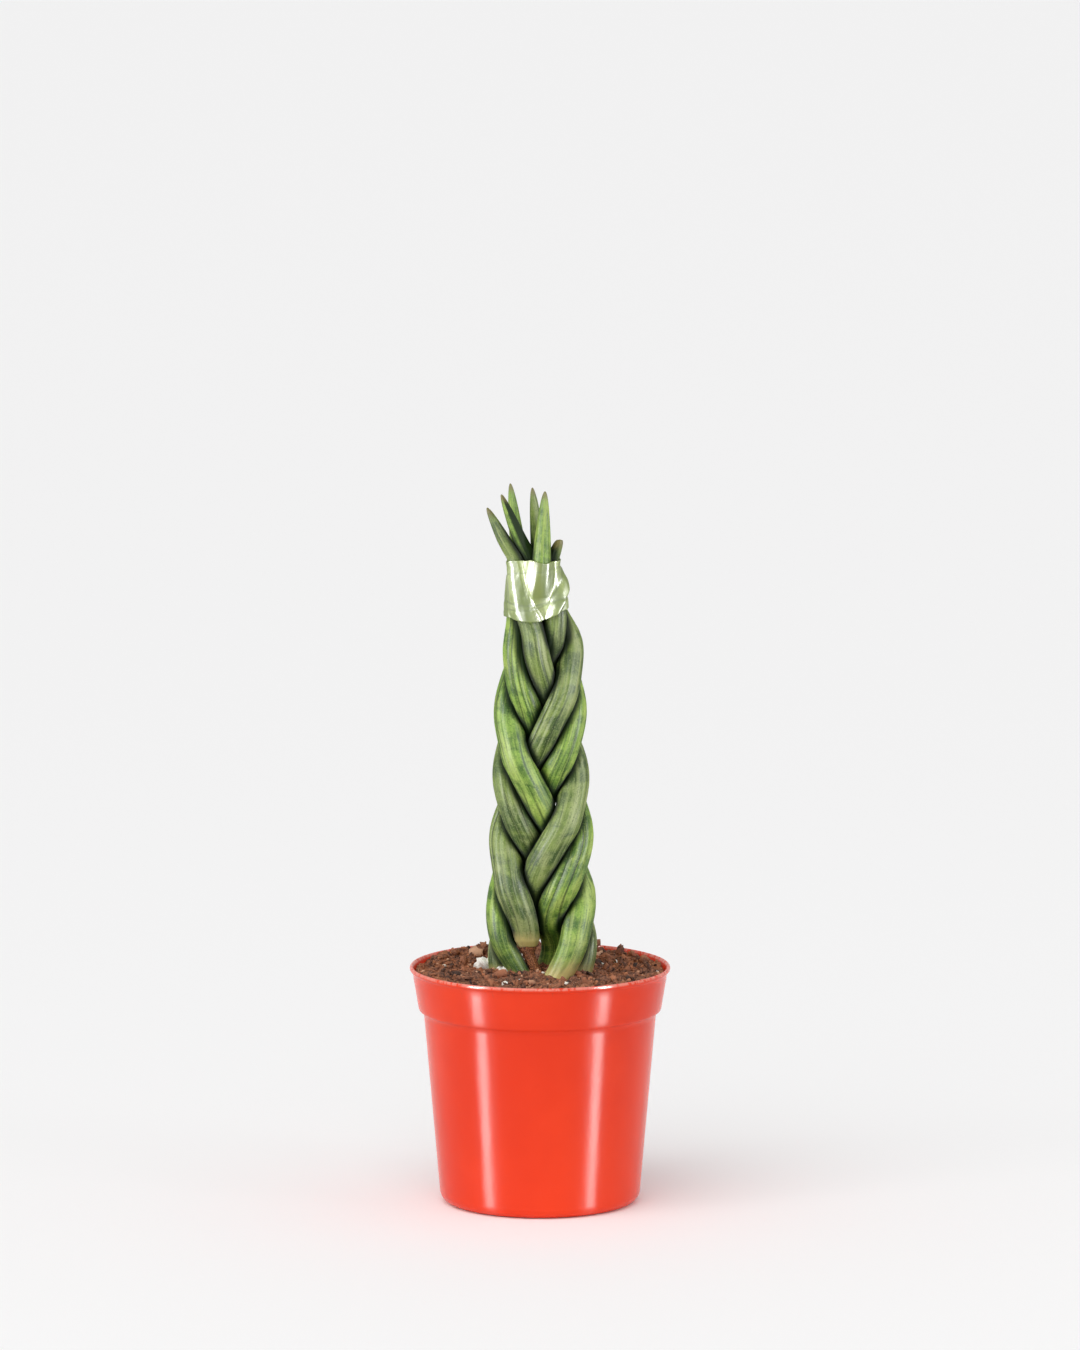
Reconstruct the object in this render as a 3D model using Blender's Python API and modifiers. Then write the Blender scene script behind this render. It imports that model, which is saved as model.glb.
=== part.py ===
"""Braided cylindrical snake plant in its nursery pot.

Metres, +Z up, the front is -Y. The origin is the middle of the pot's flat base.
Six leaf cuttings stand in three pairs and are plaited like a three-strand braid,
tied under their tips with glossy tape.
"""
import math
import random

import bmesh
import bpy
import numpy as np
from mathutils import Matrix, Vector

# Pot
RIM_RADIUS = 0.0600
COLLAR_LOW_RADIUS = 0.0560
BODY_TOP_RADIUS = 0.0534
BASE_RADIUS = 0.0458
POT_HEIGHT = 0.1100
COLLAR_HEIGHT = 0.0205
STEP_DOWN = 0.0030
BASE_FILLET = 0.0055
WALL = 0.0012
RIM_BEAD = 0.0013
POT_SIDES = 40
DRAIN_HOLES = 6
DRAIN_RADIUS = 0.0040
DRAIN_RING = 0.0270

# Soil
SOIL_LEVEL = 0.1060
SOIL_FALL = 0.0016
SOIL_MOUND = 0.0026
SOIL_LUMP = 0.0011
SOIL_BOTTOM = 0.0018
SOIL_RINGS = 10
CRUMBS = 16
FIT = 0.0003
HOLE_SIDES = 14

# Leaves
LEAF_FOOT = 0.0800
STRAIGHT_TOP = 0.0960
TAPE_LOW = 0.2718
TAPE_RISE = 0.0055
TAPE_HIGH = 0.2985
TURN = 0.1690
SPREAD = 0.0360
TAPE_HALF_WIDTH = 0.0146
TAPE_HALF_DEPTH = 0.0114
TAPE_MOUTH = 0.74
TAPE_REACH = 0.0160
LEAN = 0.0030
FOOT_SLANT = 0.62
RIBS = 9
RIB_DEPTH = 0.10
LEAF_SIDES = 18
RING_RISE = 0.0048
LEAF_GAP = 0.0014
LINE_EASE = 0.0004
TRACK_RISE = 0.0040
TRACK_TOP = 0.3400
SETTLE_STEPS = 900
PRESS = 0.82

# Tape
TAPE_THICK = 0.0011
TAPE_SIDES = 36
TAPE_RINGS = 8

# For each leaf: the height where it crosses the front on its way down to the left,
# its tip, its places in the mouth of the tape and in the soil, and its thickness low down.
# The tips and places are as they stand before the top leans over.
LEAVES = (
    (0.1553, (-0.0211, -0.002, 0.3226), (-0.0072, -0.0032), (-0.0178, 0.0035), 0.0158),
    (0.1287, (-0.0106, 0.008, 0.3325), (-0.0062, 0.0044), (0.0050, 0.0125), 0.0160),
    (0.0971, (0.0053, -0.006, 0.3306), (0.0036, -0.0046), (0.0080, -0.0120), 0.0162),
    (0.0775, (0.0120, -0.003, 0.3080), (0.0080, -0.0004), (0.0172, -0.0010), 0.0154),
    (0.2074, (-0.0005, 0.003, 0.3312), (0.0026, 0.0040), (-0.0014, -0.0034), 0.0156),
    (0.1850, (-0.0146, -0.006, 0.3292), (-0.0020, 0.0000), (-0.0084, -0.0050), 0.0160),
)
CROSSING = np.array([leaf[0] for leaf in LEAVES])
TIPS = np.array([leaf[1] for leaf in LEAVES])
MOUTHS = np.array([leaf[2] for leaf in LEAVES])
FEET = np.array([leaf[3] for leaf in LEAVES])
THICKNESS = np.array([leaf[4] for leaf in LEAVES])
TOP_THICKNESS = (0.0082, 0.0082, 0.0092, 0.0064, 0.0082, 0.0082)
STUB = 3
WITHERED = 4
FOOT_SHARE = (0.72, 0.90, 0.74, 0.85, 0.70, 0.58)


def clear_scene():
    for thing in list(bpy.data.objects):
        bpy.data.objects.remove(thing, do_unlink=True)
    for group in list(bpy.data.collections):
        bpy.data.collections.remove(group)


def new_collection(name):
    group = bpy.data.collections.new(name)
    bpy.context.scene.collection.children.link(group)
    return group


def make_material(name, colour, roughness, metallic=0.0):
    material = bpy.data.materials.new(name)
    material.use_nodes = True
    shader = material.node_tree.nodes["Principled BSDF"]
    shader.inputs["Base Color"].default_value = (*colour, 1.0)
    shader.inputs["Roughness"].default_value = roughness
    shader.inputs["Metallic"].default_value = metallic
    return material


def object_from_bmesh(name, shape, group, material=None, sharp=40.0):
    mesh = bpy.data.meshes.new(name)
    bmesh.ops.recalc_face_normals(shape, faces=shape.faces)
    shape.to_mesh(mesh)
    shape.free()
    if material is not None:
        mesh.materials.append(material)
    mesh.shade_smooth()
    mesh.set_sharp_from_angle(angle=math.radians(sharp))
    thing = bpy.data.objects.new(name, mesh)
    group.objects.link(thing)
    return thing


def hide_guide(thing):
    thing.hide_render = True
    thing.display_type = "WIRE"


def apply_modifiers(thing):
    """Replace the object's mesh by the evaluated one."""
    graph = bpy.context.evaluated_depsgraph_get()
    mesh = bpy.data.meshes.new_from_object(thing.evaluated_get(graph))
    thing.modifiers.clear()
    thing.data = mesh


# Routes of the leaves

def leaf_widths(heights):
    """Thickness of each leaf at each height."""
    rows = []
    for leaf in range(6):
        low = THICKNESS[leaf]
        top = TOP_THICKNESS[leaf]
        knots = (0.0, 0.150, 0.200, 0.258, 0.2725, TAPE_HIGH)
        row = np.interp(heights, knots, (low, 0.97 * low, 0.86 * low, 0.79 * low, 0.0108, top))
        row = row * np.interp(heights, (0.104, 0.146), (FOOT_SHARE[leaf], 1.0))
        tip = TIPS[leaf, 2]
        left = np.clip((tip - heights) / (tip - TAPE_HIGH + 0.004), 0.0, 1.0)
        power = 0.24 if leaf == STUB else 0.50
        row = np.where(heights > TAPE_HIGH - 0.004, np.minimum(row, 1.04 * top * left ** power), row)
        rows.append(row)
    rows = np.array(rows)
    withered = np.interp(heights, (0.116, 0.123), (0.46, 1.0))
    rows[WITHERED] *= withered
    return rows


def first_tracks(heights):
    """Wide figure-eight tracks of a three-strand braid, two leaves to a strand."""
    angle = math.pi / 2 + 2 * math.pi * (CROSSING[:, None] - heights[None, :]) / TURN
    return np.stack([SPREAD * np.cos(angle), -SPREAD * np.sin(2 * angle)], axis=-1)


def push_apart(tracks, thick):
    """How far each point of each leaf is pushed by the leaves that it touches."""
    count = tracks.shape[1]
    reach = int(THICKNESS.max() / TRACK_RISE)
    push = np.zeros_like(tracks)
    for shift in range(-reach, reach + 1):
        low = max(0, -shift)
        high = min(count, count - shift)
        here = tracks[:, None, low:high]
        there = tracks[None, :, low + shift:high + shift]
        apart = there - here
        distance = np.sqrt((apart ** 2).sum(-1) + (shift * TRACK_RISE) ** 2) + 1e-9
        need = 0.5 * PRESS * (thick[:, None, low:high] + thick[None, :, low + shift:high + shift])
        short = np.clip(need - distance, 0, None)
        short[np.arange(6), np.arange(6)] = 0
        push[:, low:high] -= ((short / distance)[..., None] * apart).sum(1)
    return push


def hold_in_tape(tracks, thick, heights):
    """Draw the leaves into the oval that the tape leaves them."""
    low = TAPE_LOW - 0.004 + (TAPE_RISE + 0.002) * np.clip(tracks[..., 0] / 0.010, 0, 1)
    inside = (heights > low) & (heights < TAPE_HIGH + 0.002)
    narrow = np.interp(heights, (TAPE_LOW, TAPE_HIGH), (1.0, TAPE_MOUTH))
    scale = np.sqrt((tracks[..., 0] / TAPE_HALF_WIDTH) ** 2 + (tracks[..., 1] / TAPE_HALF_DEPTH) ** 2)
    limit = narrow * (1.0 - 0.38 * thick / TAPE_HALF_DEPTH)
    over = np.clip(scale / limit - 1, 0, None) * inside
    tracks = tracks - 0.3 * (over / (1 + over))[..., None] * tracks
    near = np.clip(1 - (TAPE_HIGH - heights) / TAPE_REACH, 0, 1) * (heights < TAPE_HIGH)
    return tracks + 0.06 * near[None, :, None] * (MOUTHS[:, None] - tracks)


def stand_in_soil(tracks, heights):
    """Draw the lowest parts of the leaves to their slanting places in the soil."""
    angle = math.pi / 2 + 2 * math.pi * (CROSSING - SOIL_LEVEL) / TURN
    places = np.repeat(FEET[:, None], len(heights), axis=1)
    places[..., 0] += FOOT_SLANT * np.sin(angle)[:, None] * (heights - SOIL_LEVEL)[None, :]
    near = np.clip((0.128 - heights) / 0.022, 0, 1)
    return tracks + 0.05 * near[None, :, None] * (places - tracks)


def aim_at_tips(tracks, heights):
    """Above the tape each leaf runs straight to its own tip."""
    root = int(round((TAPE_HIGH - 0.004 - heights[0]) / TRACK_RISE))
    share = (heights[None, :] - heights[root]) / (TIPS[:, 2:3] - heights[root])
    start = tracks[:, root:root + 1]
    line = start + share[..., None] * (TIPS[:, None, :2] - start)
    above = (heights > TAPE_HIGH)[None, :, None]
    return tracks + 0.3 * np.clip(2 * share, 0, 1)[..., None] * (line - tracks) * above


def smooth_tracks(tracks):
    """Leaves are stiff, so their tracks are eased at every step."""
    first = tracks[:, :1]
    last = tracks[:, -1:]
    slope = last - tracks[:, -2:-1]
    longer = np.concatenate([first, first, tracks, last + slope, last + 2 * slope], axis=1)
    bend = longer[:, 2:] - 2 * longer[:, 1:-1] + longer[:, :-2]
    change = bend[:, 2:] - 2 * bend[:, 1:-1] + bend[:, :-2]
    return tracks - 0.05 * change + 0.02 * bend[:, 1:-1]


def leaf_tracks():
    """Plait the leaves: pull the wide tracks together until they press on each other."""
    heights = np.arange(LEAF_FOOT, TRACK_TOP, TRACK_RISE)
    thick = leaf_widths(heights)
    tracks = first_tracks(heights)
    for step in range(SETTLE_STEPS):
        pull = 0.000045 * (1 - step / SETTLE_STEPS) + 0.000010
        strength = np.where(heights < 0.104, 0.25 * pull, pull)
        size = np.linalg.norm(tracks, axis=-1, keepdims=True)
        push = push_apart(tracks, thick)
        tracks = tracks - strength[None, :, None] * tracks / (size + 0.004) + 0.14 * push
        tracks = hold_in_tape(tracks, thick, heights)
        tracks = stand_in_soil(tracks, heights)
        tracks = aim_at_tips(tracks, heights)
        tracks = smooth_tracks(tracks)
    straight = int(round((STRAIGHT_TOP - LEAF_FOOT) / TRACK_RISE))
    tracks[:, :straight] = tracks[:, straight:straight + 1]
    lean = -LEAN * np.clip((heights - 0.262) / 0.030, 0, 1)
    tracks[..., 0] += lean[None, :]
    return heights, tracks


def sample_tracks(heights, tracks, wanted):
    """Points and slopes of all leaves at the wanted heights, on smooth curves."""
    place = np.clip((wanted - heights[0]) / TRACK_RISE, 0, len(heights) - 1.0001)
    cell = place.astype(int)
    part = (place - cell)[None, :, None]
    last = len(heights) - 1
    before = tracks[:, np.clip(cell - 1, 0, last)]
    start = tracks[:, cell]
    end = tracks[:, np.clip(cell + 1, 0, last)]
    after = tracks[:, np.clip(cell + 2, 0, last)]
    cubic = -before + 3 * start - 3 * end + after
    square = 2 * before - 5 * start + 4 * end - after
    points = 0.5 * (((cubic * part + square) * part + (end - before)) * part + 2 * start)
    slopes = 0.5 * ((3 * cubic * part + 2 * square) * part + (end - before)) / TRACK_RISE
    return points, slopes


# Sections of the leaves

def pressed_limits(points, slopes, thick):
    """Straight lines, level by level, that keep each pair of pressed leaves apart.

    Returns the line normals and how far each leaf may reach towards them.
    """
    turns = np.linspace(0, 2 * math.pi, 72, endpoint=False)
    ways = np.stack([np.cos(turns), np.sin(turns)], axis=-1)
    reach = 0.5 * thick[..., None] * np.sqrt(1 + (slopes @ ways.T) ** 2)
    apart = points[None, :] - points[:, None]
    room = apart @ ways.T - reach[:, None] - reach[None, :]
    weight = np.exp((room - room.max(-1, keepdims=True)) / LINE_EASE)
    normals = weight @ ways
    normals = normals / np.linalg.norm(normals, axis=-1, keepdims=True)
    own = support(normals, slopes[:, None], thick[:, None])
    other = support(normals, slopes[None, :], thick[None, :])
    room = (apart * normals).sum(-1) - own - other
    return normals, own + 0.5 * room - 0.5 * LEAF_GAP


def support(normals, slopes, thick):
    """How far the level section of a sloping round leaf reaches towards a direction."""
    return 0.5 * thick * np.sqrt(1 + (normals * slopes).sum(-1) ** 2)


def leaf_section(leaf, level, points, slopes, thick, limits, turns, ribbed=True):
    """Radii of one level section, with ribs, pressed flat where neighbours touch."""
    ways = np.stack([np.cos(turns), np.sin(turns)], axis=-1)
    slope = slopes[leaf, level]
    lean = (ways @ slope) / math.sqrt(1 + slope @ slope)
    radius = 0.5 * thick[leaf, level] / np.sqrt(1 - lean ** 2)
    if ribbed:
        radius = radius * rib_shape(turns + 0.9 * leaf)
    normals, reach = limits
    for other in range(6):
        if other == leaf or thick[other, level] < 0.0004:
            continue
        facing = ways @ normals[leaf, other, level]
        limit = np.where(facing > 0.05, reach[leaf, other, level] / np.maximum(facing, 0.05), 1.0)
        radius = np.minimum(radius, np.maximum(limit, 0.0002))
    return radius[:, None] * ways


def rib_shape(turns):
    """Rounded ribs with narrower grooves between them."""
    wave = 0.5 + 0.5 * np.cos(RIBS * turns)
    return 1.0 - RIB_DEPTH * (1.0 - wave ** 0.6)


def loft_rings(rings, tip=None):
    """Closed body through rings of equal counts, capped below and pointed or capped above."""
    shape = bmesh.new()
    rows = [[shape.verts.new(point) for point in ring] for ring in rings]
    sides = len(rows[0])
    for low, high in zip(rows, rows[1:]):
        for side in range(sides):
            after = (side + 1) % sides
            shape.faces.new((low[side], low[after], high[after], high[side]))
    middle = shape.verts.new(sum((Vector(v.co) for v in rows[0]), Vector()) / sides)
    for side in range(sides):
        shape.faces.new((rows[0][(side + 1) % sides], rows[0][side], middle))
    end = shape.verts.new(tip if tip is not None else sum((Vector(v.co) for v in rows[-1]), Vector()) / sides)
    for side in range(sides):
        shape.faces.new((rows[-1][side], rows[-1][(side + 1) % sides], end))
    return shape


def make_leaf(leaf, heights, tracks, group, material):
    tip = TIPS[leaf, 2]
    wanted = np.append(np.arange(LEAF_FOOT, tip - 0.5 * RING_RISE, RING_RISE), tip - 0.0006)
    points, slopes = sample_tracks(heights, tracks, wanted)
    thick = leaf_widths(wanted)
    limits = pressed_limits(points, slopes, thick)
    turns = np.arange(LEAF_SIDES) * 2 * math.pi / LEAF_SIDES - 0.9 * leaf
    rings = []
    for level, height in enumerate(wanted):
        flat = points[leaf, level] + leaf_section(leaf, level, points, slopes, thick, limits, turns)
        rings.append([(x, y, height) for x, y in flat])
    top, _ = sample_tracks(heights, tracks, np.array([tip]))
    shape = loft_rings(rings, (top[leaf, 0, 0], top[leaf, 0, 1], tip))
    return object_from_bmesh(f"leaf_{leaf + 1}", shape, group, material, sharp=60.0)


def make_leaf_cutter(leaf, heights, tracks, group):
    """Plain round hole that a leaf stands in, a little wider than the leaf."""
    wanted = LEAF_FOOT + RING_RISE * np.array([-0.06, 1, 3, 4, 5, 6, 7.5])
    points, slopes = sample_tracks(heights, tracks, wanted)
    thick = leaf_widths(wanted) + 4 * FIT
    turns = np.arange(HOLE_SIDES) * 2 * math.pi / HOLE_SIDES
    ways = np.stack([np.cos(turns), np.sin(turns)], axis=-1)
    rings = []
    for level, height in enumerate(wanted):
        slope = slopes[leaf, level]
        lean = (ways @ slope) / math.sqrt(1 + slope @ slope)
        radius = (0.5 * thick[leaf, level] / np.sqrt(1 - lean ** 2)) / math.cos(math.pi / HOLE_SIDES)
        flat = points[leaf, level] + radius[:, None] * ways
        rings.append([(x, y, height) for x, y in flat])
    cutter = object_from_bmesh(f"cut_leaf_{leaf + 1}", loft_rings(rings), group)
    hide_guide(cutter)
    return cutter


# Pot

def pot_profile():
    """Closed outline of the wall: down the outside, across the base and up the inside."""
    collar_low = POT_HEIGHT - COLLAR_HEIGHT
    body_top = collar_low - STEP_DOWN
    slant = (BODY_TOP_RADIUS - BASE_RADIUS) / body_top
    outer = [
        (RIM_RADIUS - 0.0005, POT_HEIGHT),
        (RIM_RADIUS, POT_HEIGHT - 0.0006),
        (RIM_RADIUS, POT_HEIGHT - 0.0022),
        (RIM_RADIUS - 0.0010, POT_HEIGHT - 0.0034),
        (COLLAR_LOW_RADIUS + 0.0004, collar_low + 0.0014),
        (COLLAR_LOW_RADIUS - 0.0004, collar_low),
        (BODY_TOP_RADIUS + 0.0006, collar_low - 0.0012),
        (BODY_TOP_RADIUS, body_top),
    ]
    for part in range(5):
        angle = math.radians(90 * part / 4)
        side = BASE_RADIUS + slant * BASE_FILLET
        outer.append((side - BASE_FILLET + BASE_FILLET * math.cos(angle), BASE_FILLET * (1 - math.sin(angle))))
    inner = [
        (0.0, 0.0),
        (0.0, WALL),
        (BASE_RADIUS - BASE_FILLET, WALL),
        (BASE_RADIUS - 0.0026, 0.0030),
        (BASE_RADIUS - WALL + slant * BASE_FILLET, BASE_FILLET + 0.001),
        (BODY_TOP_RADIUS - WALL, body_top),
        (COLLAR_LOW_RADIUS - WALL - 0.0004, collar_low + 0.0016),
        (RIM_RADIUS - WALL - 0.0010, POT_HEIGHT - 0.0034),
        (RIM_RADIUS - RIM_BEAD - 0.0004, POT_HEIGHT - 0.0008),
    ]
    return outer + inner


def inner_radius(height):
    """Radius of the pot's inside at a height."""
    outline = pot_profile()[-8:]
    return float(np.interp(height, [z for _, z in outline], [r for r, _ in outline]))


def make_pot(group, guides, material):
    mesh = bpy.data.meshes.new("pot")
    points = [(radius, 0.0, height) for radius, height in pot_profile()]
    edges = [(index, (index + 1) % len(points)) for index in range(len(points))]
    edges = [edge for edge in edges if not (points[edge[0]][0] == 0 and points[edge[1]][0] == 0)]
    mesh.from_pydata(points, edges, [])
    mesh.materials.append(material)
    pot = bpy.data.objects.new("pot", mesh)
    group.objects.link(pot)
    screw = pot.modifiers.new("turned", "SCREW")
    screw.steps = POT_SIDES
    screw.render_steps = POT_SIDES
    screw.use_merge_vertices = True
    screw.merge_threshold = 0.00005
    screw.use_smooth_shade = True
    for index in range(DRAIN_HOLES):
        angle = 2 * math.pi * (index + 0.5) / DRAIN_HOLES
        hole = bmesh.new()
        place = Matrix.Translation((DRAIN_RING * math.cos(angle), DRAIN_RING * math.sin(angle), 0.0))
        bmesh.ops.create_cone(hole, cap_ends=True, segments=16, radius1=DRAIN_RADIUS,
                              radius2=DRAIN_RADIUS, depth=6 * WALL, matrix=place)
        cutter = object_from_bmesh(f"cut_drain_{index + 1}", hole, guides)
        hide_guide(cutter)
        cut = pot.modifiers.new(f"drain_{index + 1}", "BOOLEAN")
        cut.operation = "DIFFERENCE"
        cut.object = cutter
    return pot


# Soil

def soil_height(x, y):
    """Lumpy top of the soil: lower at the front right, raised round the leaves."""
    across = math.hypot(x, y)
    level = SOIL_LEVEL + SOIL_FALL * (y - 0.6 * x) / 0.055
    level += SOIL_MOUND * math.exp(-(across / 0.026) ** 2)
    lumps = math.sin(410 * x + 1.3) * math.sin(385 * y + 0.4) + 0.6 * math.sin(690 * x - 520 * y + 2.0)
    lumps += 0.5 * math.sin(900 * y + 610 * x)
    return level + SOIL_LUMP * lumps / 1.6


def make_soil(group, guides, heights, tracks, material):
    shape = bmesh.new()
    rows = []
    for ring in range(1, SOIL_RINGS + 1):
        row = []
        for side in range(POT_SIDES):
            angle = 2 * math.pi * side / POT_SIDES
            full = inner_radius(SOIL_LEVEL) - 2 * FIT
            height = soil_height(full * math.cos(angle), full * math.sin(angle))
            radius = (inner_radius(height) - 2 * FIT) * ring / SOIL_RINGS
            x = radius * math.cos(angle)
            y = radius * math.sin(angle)
            row.append(shape.verts.new((x, y, soil_height(x, y))))
        rows.append(row)
    for height in (0.0985, 0.0890, 0.0860, 0.0075, 0.0045):
        radius = inner_radius(height) - 2 * FIT
        angles = [2 * math.pi * side / POT_SIDES for side in range(POT_SIDES)]
        rows.append([shape.verts.new((radius * math.cos(a), radius * math.sin(a), height)) for a in angles])
    top = shape.verts.new((0, 0, soil_height(0, 0)))
    bottom = shape.verts.new((0, 0, SOIL_BOTTOM))
    low = BASE_RADIUS - BASE_FILLET - 0.001
    angles = [2 * math.pi * side / POT_SIDES for side in range(POT_SIDES)]
    rows.append([shape.verts.new((low * math.cos(a), low * math.sin(a), SOIL_BOTTOM)) for a in angles])
    for side in range(POT_SIDES):
        after = (side + 1) % POT_SIDES
        shape.faces.new((rows[0][side], rows[0][after], top))
        shape.faces.new((rows[-1][after], rows[-1][side], bottom))
        for upper, lower in zip(rows, rows[1:]):
            shape.faces.new((upper[after], upper[side], lower[side], lower[after]))
    soil = object_from_bmesh("soil", shape, group, material, sharp=60.0)
    crumbs = make_crumbs(guides)
    join = soil.modifiers.new("crumbs", "BOOLEAN")
    join.operation = "UNION"
    join.operand_type = "COLLECTION"
    join.collection = crumbs
    apply_modifiers(soil)
    for thing in list(crumbs.objects):
        bpy.data.objects.remove(thing, do_unlink=True)
    bpy.data.collections.remove(crumbs)
    holes = bpy.data.collections.new("leaf_holes")
    guides.children.link(holes)
    for leaf in range(6):
        make_leaf_cutter(leaf, heights, tracks, holes)
    cut = soil.modifiers.new("holes", "BOOLEAN")
    cut.operation = "DIFFERENCE"
    cut.operand_type = "COLLECTION"
    cut.collection = holes
    apply_modifiers(soil)
    keep_main_body(soil)
    soil.data.shade_smooth()
    soil.data.set_sharp_from_angle(angle=math.radians(50))
    return soil


def make_crumbs(guides):
    """Perlite grains and bark crumbs, pressed half into the top of the soil."""
    draw = random.Random(7)
    crumbs = bpy.data.collections.new("crumbs")
    guides.children.link(crumbs)
    spots = [(-0.0205, -0.0335, 0.0034), (-0.0155, -0.0385, 0.0022), (0.0120, -0.0400, 0.0018),
             (0.0185, -0.0425, 0.0026)]
    while len(spots) < CRUMBS:
        angle = draw.uniform(0, 2 * math.pi)
        radius = draw.uniform(0.034, 0.051)
        size = draw.uniform(0.0012, 0.0024)
        spot = (radius * math.cos(angle), radius * math.sin(angle), size)
        if all(math.hypot(spot[0] - s[0], spot[1] - s[1]) > 1.3 * (size + s[2]) for s in spots):
            spots.append(spot)
    for index, (x, y, size) in enumerate(spots):
        grain = bmesh.new()
        bmesh.ops.create_icosphere(grain, subdivisions=1, radius=1.0)
        turn = Matrix.Rotation(draw.uniform(0, 6), 4, Vector((draw.uniform(-1, 1), draw.uniform(-1, 1), 0.4)))
        stretch = Matrix.Diagonal((size, size * draw.uniform(0.7, 0.95), size * draw.uniform(0.6, 0.8), 1.0))
        place = Matrix.Translation((x, y, soil_height(x, y) + 0.15 * size))
        grain.transform(place @ turn @ stretch)
        object_from_bmesh(f"crumb_{index + 1}", grain, crumbs)
    return crumbs


def keep_main_body(thing):
    """Drop loose scraps that the holes have cut off."""
    shape = bmesh.new()
    shape.from_mesh(thing.data)
    left = set(shape.verts)
    bodies = []
    while left:
        front = [left.pop()]
        body = set(front)
        while front:
            vert = front.pop()
            for edge in vert.link_edges:
                other = edge.other_vert(vert)
                if other in left:
                    left.discard(other)
                    body.add(other)
                    front.append(other)
        bodies.append(body)
    main = max(bodies, key=len)
    scraps = [vert for body in bodies if body is not main for vert in body]
    bmesh.ops.delete(shape, geom=scraps, context="VERTS")
    shape.to_mesh(thing.data)
    shape.free()


# Tape

def hull_of(points):
    """Convex outline of flat points, anticlockwise."""
    points = sorted(map(tuple, points))

    def half(sequence):
        chain = []
        for point in sequence:
            while len(chain) > 1:
                (ax, ay), (bx, by) = chain[-2], chain[-1]
                if (bx - ax) * (point[1] - ay) - (by - ay) * (point[0] - ax) > 0:
                    break
                chain.pop()
            chain.append(point)
        return chain

    lower = half(points)
    upper = half(points[::-1])
    return np.array(lower[:-1] + upper[:-1])


def hull_reach(hull, centre, turns):
    """Distance from the centre to the hull in each direction."""
    reach = []
    after = np.roll(hull, -1, axis=0)
    edge = after - hull
    normal = np.stack([edge[:, 1], -edge[:, 0]], axis=-1)
    normal = normal / np.linalg.norm(normal, axis=-1, keepdims=True)
    offset = ((hull - centre) * normal).sum(-1)
    for turn in turns:
        facing = normal @ np.array([math.cos(turn), math.sin(turn)])
        ahead = facing > 1e-6
        reach.append((offset[ahead] / facing[ahead]).min())
    return np.array(reach)


def tape_height(turn, share):
    """Height on the tape; its lower edge rises on the right."""
    low = TAPE_LOW + TAPE_RISE * max(0.0, math.cos(turn)) ** 1.5
    return low + (TAPE_HIGH - low) * share


def tape_swell(turn, share):
    """Extra thickness of the tape's layers: its turns, and the fold that climbs round the right."""
    layers = 0.00030 * math.sin(2 * math.pi * (2.6 * share + turn / (2 * math.pi)))
    if turn < 2.0:
        turn += 2 * math.pi
    line = 0.04 + 0.55 * (turn - 5.25)
    ends = min(1.0, max(0.0, (turn - 4.75) / 0.6)) * min(1.0, max(0.0, (7.6 - turn) / 0.8))
    return layers + 0.0016 * ends * math.exp(-((share - line) / 0.14) ** 2)


def make_tape(group, heights, tracks, material):
    levels = np.linspace(TAPE_LOW - 0.0002, TAPE_HIGH + 0.0002, 14)
    points, slopes = sample_tracks(heights, tracks, levels)
    thick = leaf_widths(levels)
    limits = pressed_limits(points, slopes, thick)
    fine = np.linspace(0, 2 * math.pi, 48, endpoint=False)
    turns = np.arange(TAPE_SIDES) * 2 * math.pi / TAPE_SIDES
    reach = []
    for level in range(len(levels)):
        outline = []
        for leaf in range(6):
            flat = leaf_section(leaf, level, points, slopes, thick, limits, fine, ribbed=False)
            outline.extend(points[leaf, level] + flat)
        reach.append(hull_reach(hull_of(outline), points[:, level].mean(axis=0), turns) + 2.2 * FIT)
    centres = points.mean(axis=0)
    reach = np.array(reach)
    shape = bmesh.new()
    inner = []
    outer = []
    for row in range(TAPE_RINGS):
        share = row / (TAPE_RINGS - 1)
        edge = 0.0003 * (row in (0, TAPE_RINGS - 1))
        inner.append([])
        outer.append([])
        for side, turn in enumerate(turns):
            height = tape_height(turn, share)
            middle = [np.interp(height, levels, centres[:, axis]) for axis in (0, 1)]
            near = np.interp(height, levels, reach[:, side])
            far = near + TAPE_THICK + tape_swell(turn, share) - edge
            for radius, ring in ((near, inner[-1]), (far, outer[-1])):
                x = middle[0] + radius * math.cos(turn)
                y = middle[1] + radius * math.sin(turn)
                ring.append(shape.verts.new((x, y, height)))
    rows = outer + inner[::-1]
    for low, high in zip(rows, rows[1:] + rows[:1]):
        for side in range(TAPE_SIDES):
            after = (side + 1) % TAPE_SIDES
            shape.faces.new((low[side], low[after], high[after], high[side]))
    return object_from_bmesh("tape", shape, group, material, sharp=50.0)


def main():
    clear_scene()
    group = new_collection("snake_plant")
    guides = new_collection("cutters")
    red = make_material("pot_plastic", (0.80, 0.070, 0.035), 0.32)
    brown = make_material("soil_mix", (0.085, 0.040, 0.024), 0.95)
    green = make_material("leaf_skin", (0.130, 0.220, 0.060), 0.42)
    yellow = make_material("tape_film", (0.520, 0.600, 0.250), 0.20)
    heights, tracks = leaf_tracks()
    make_pot(group, guides, red)
    make_soil(group, guides, heights, tracks, brown)
    for leaf in range(6):
        make_leaf(leaf, heights, tracks, group, green)
    make_tape(group, heights, tracks, yellow)


main()
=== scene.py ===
"""Looks of the braided cylindrical snake plant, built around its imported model."""

import math
import random

import bmesh
import bpy
import numpy as np
from mathutils import Matrix, Vector, noise


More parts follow.
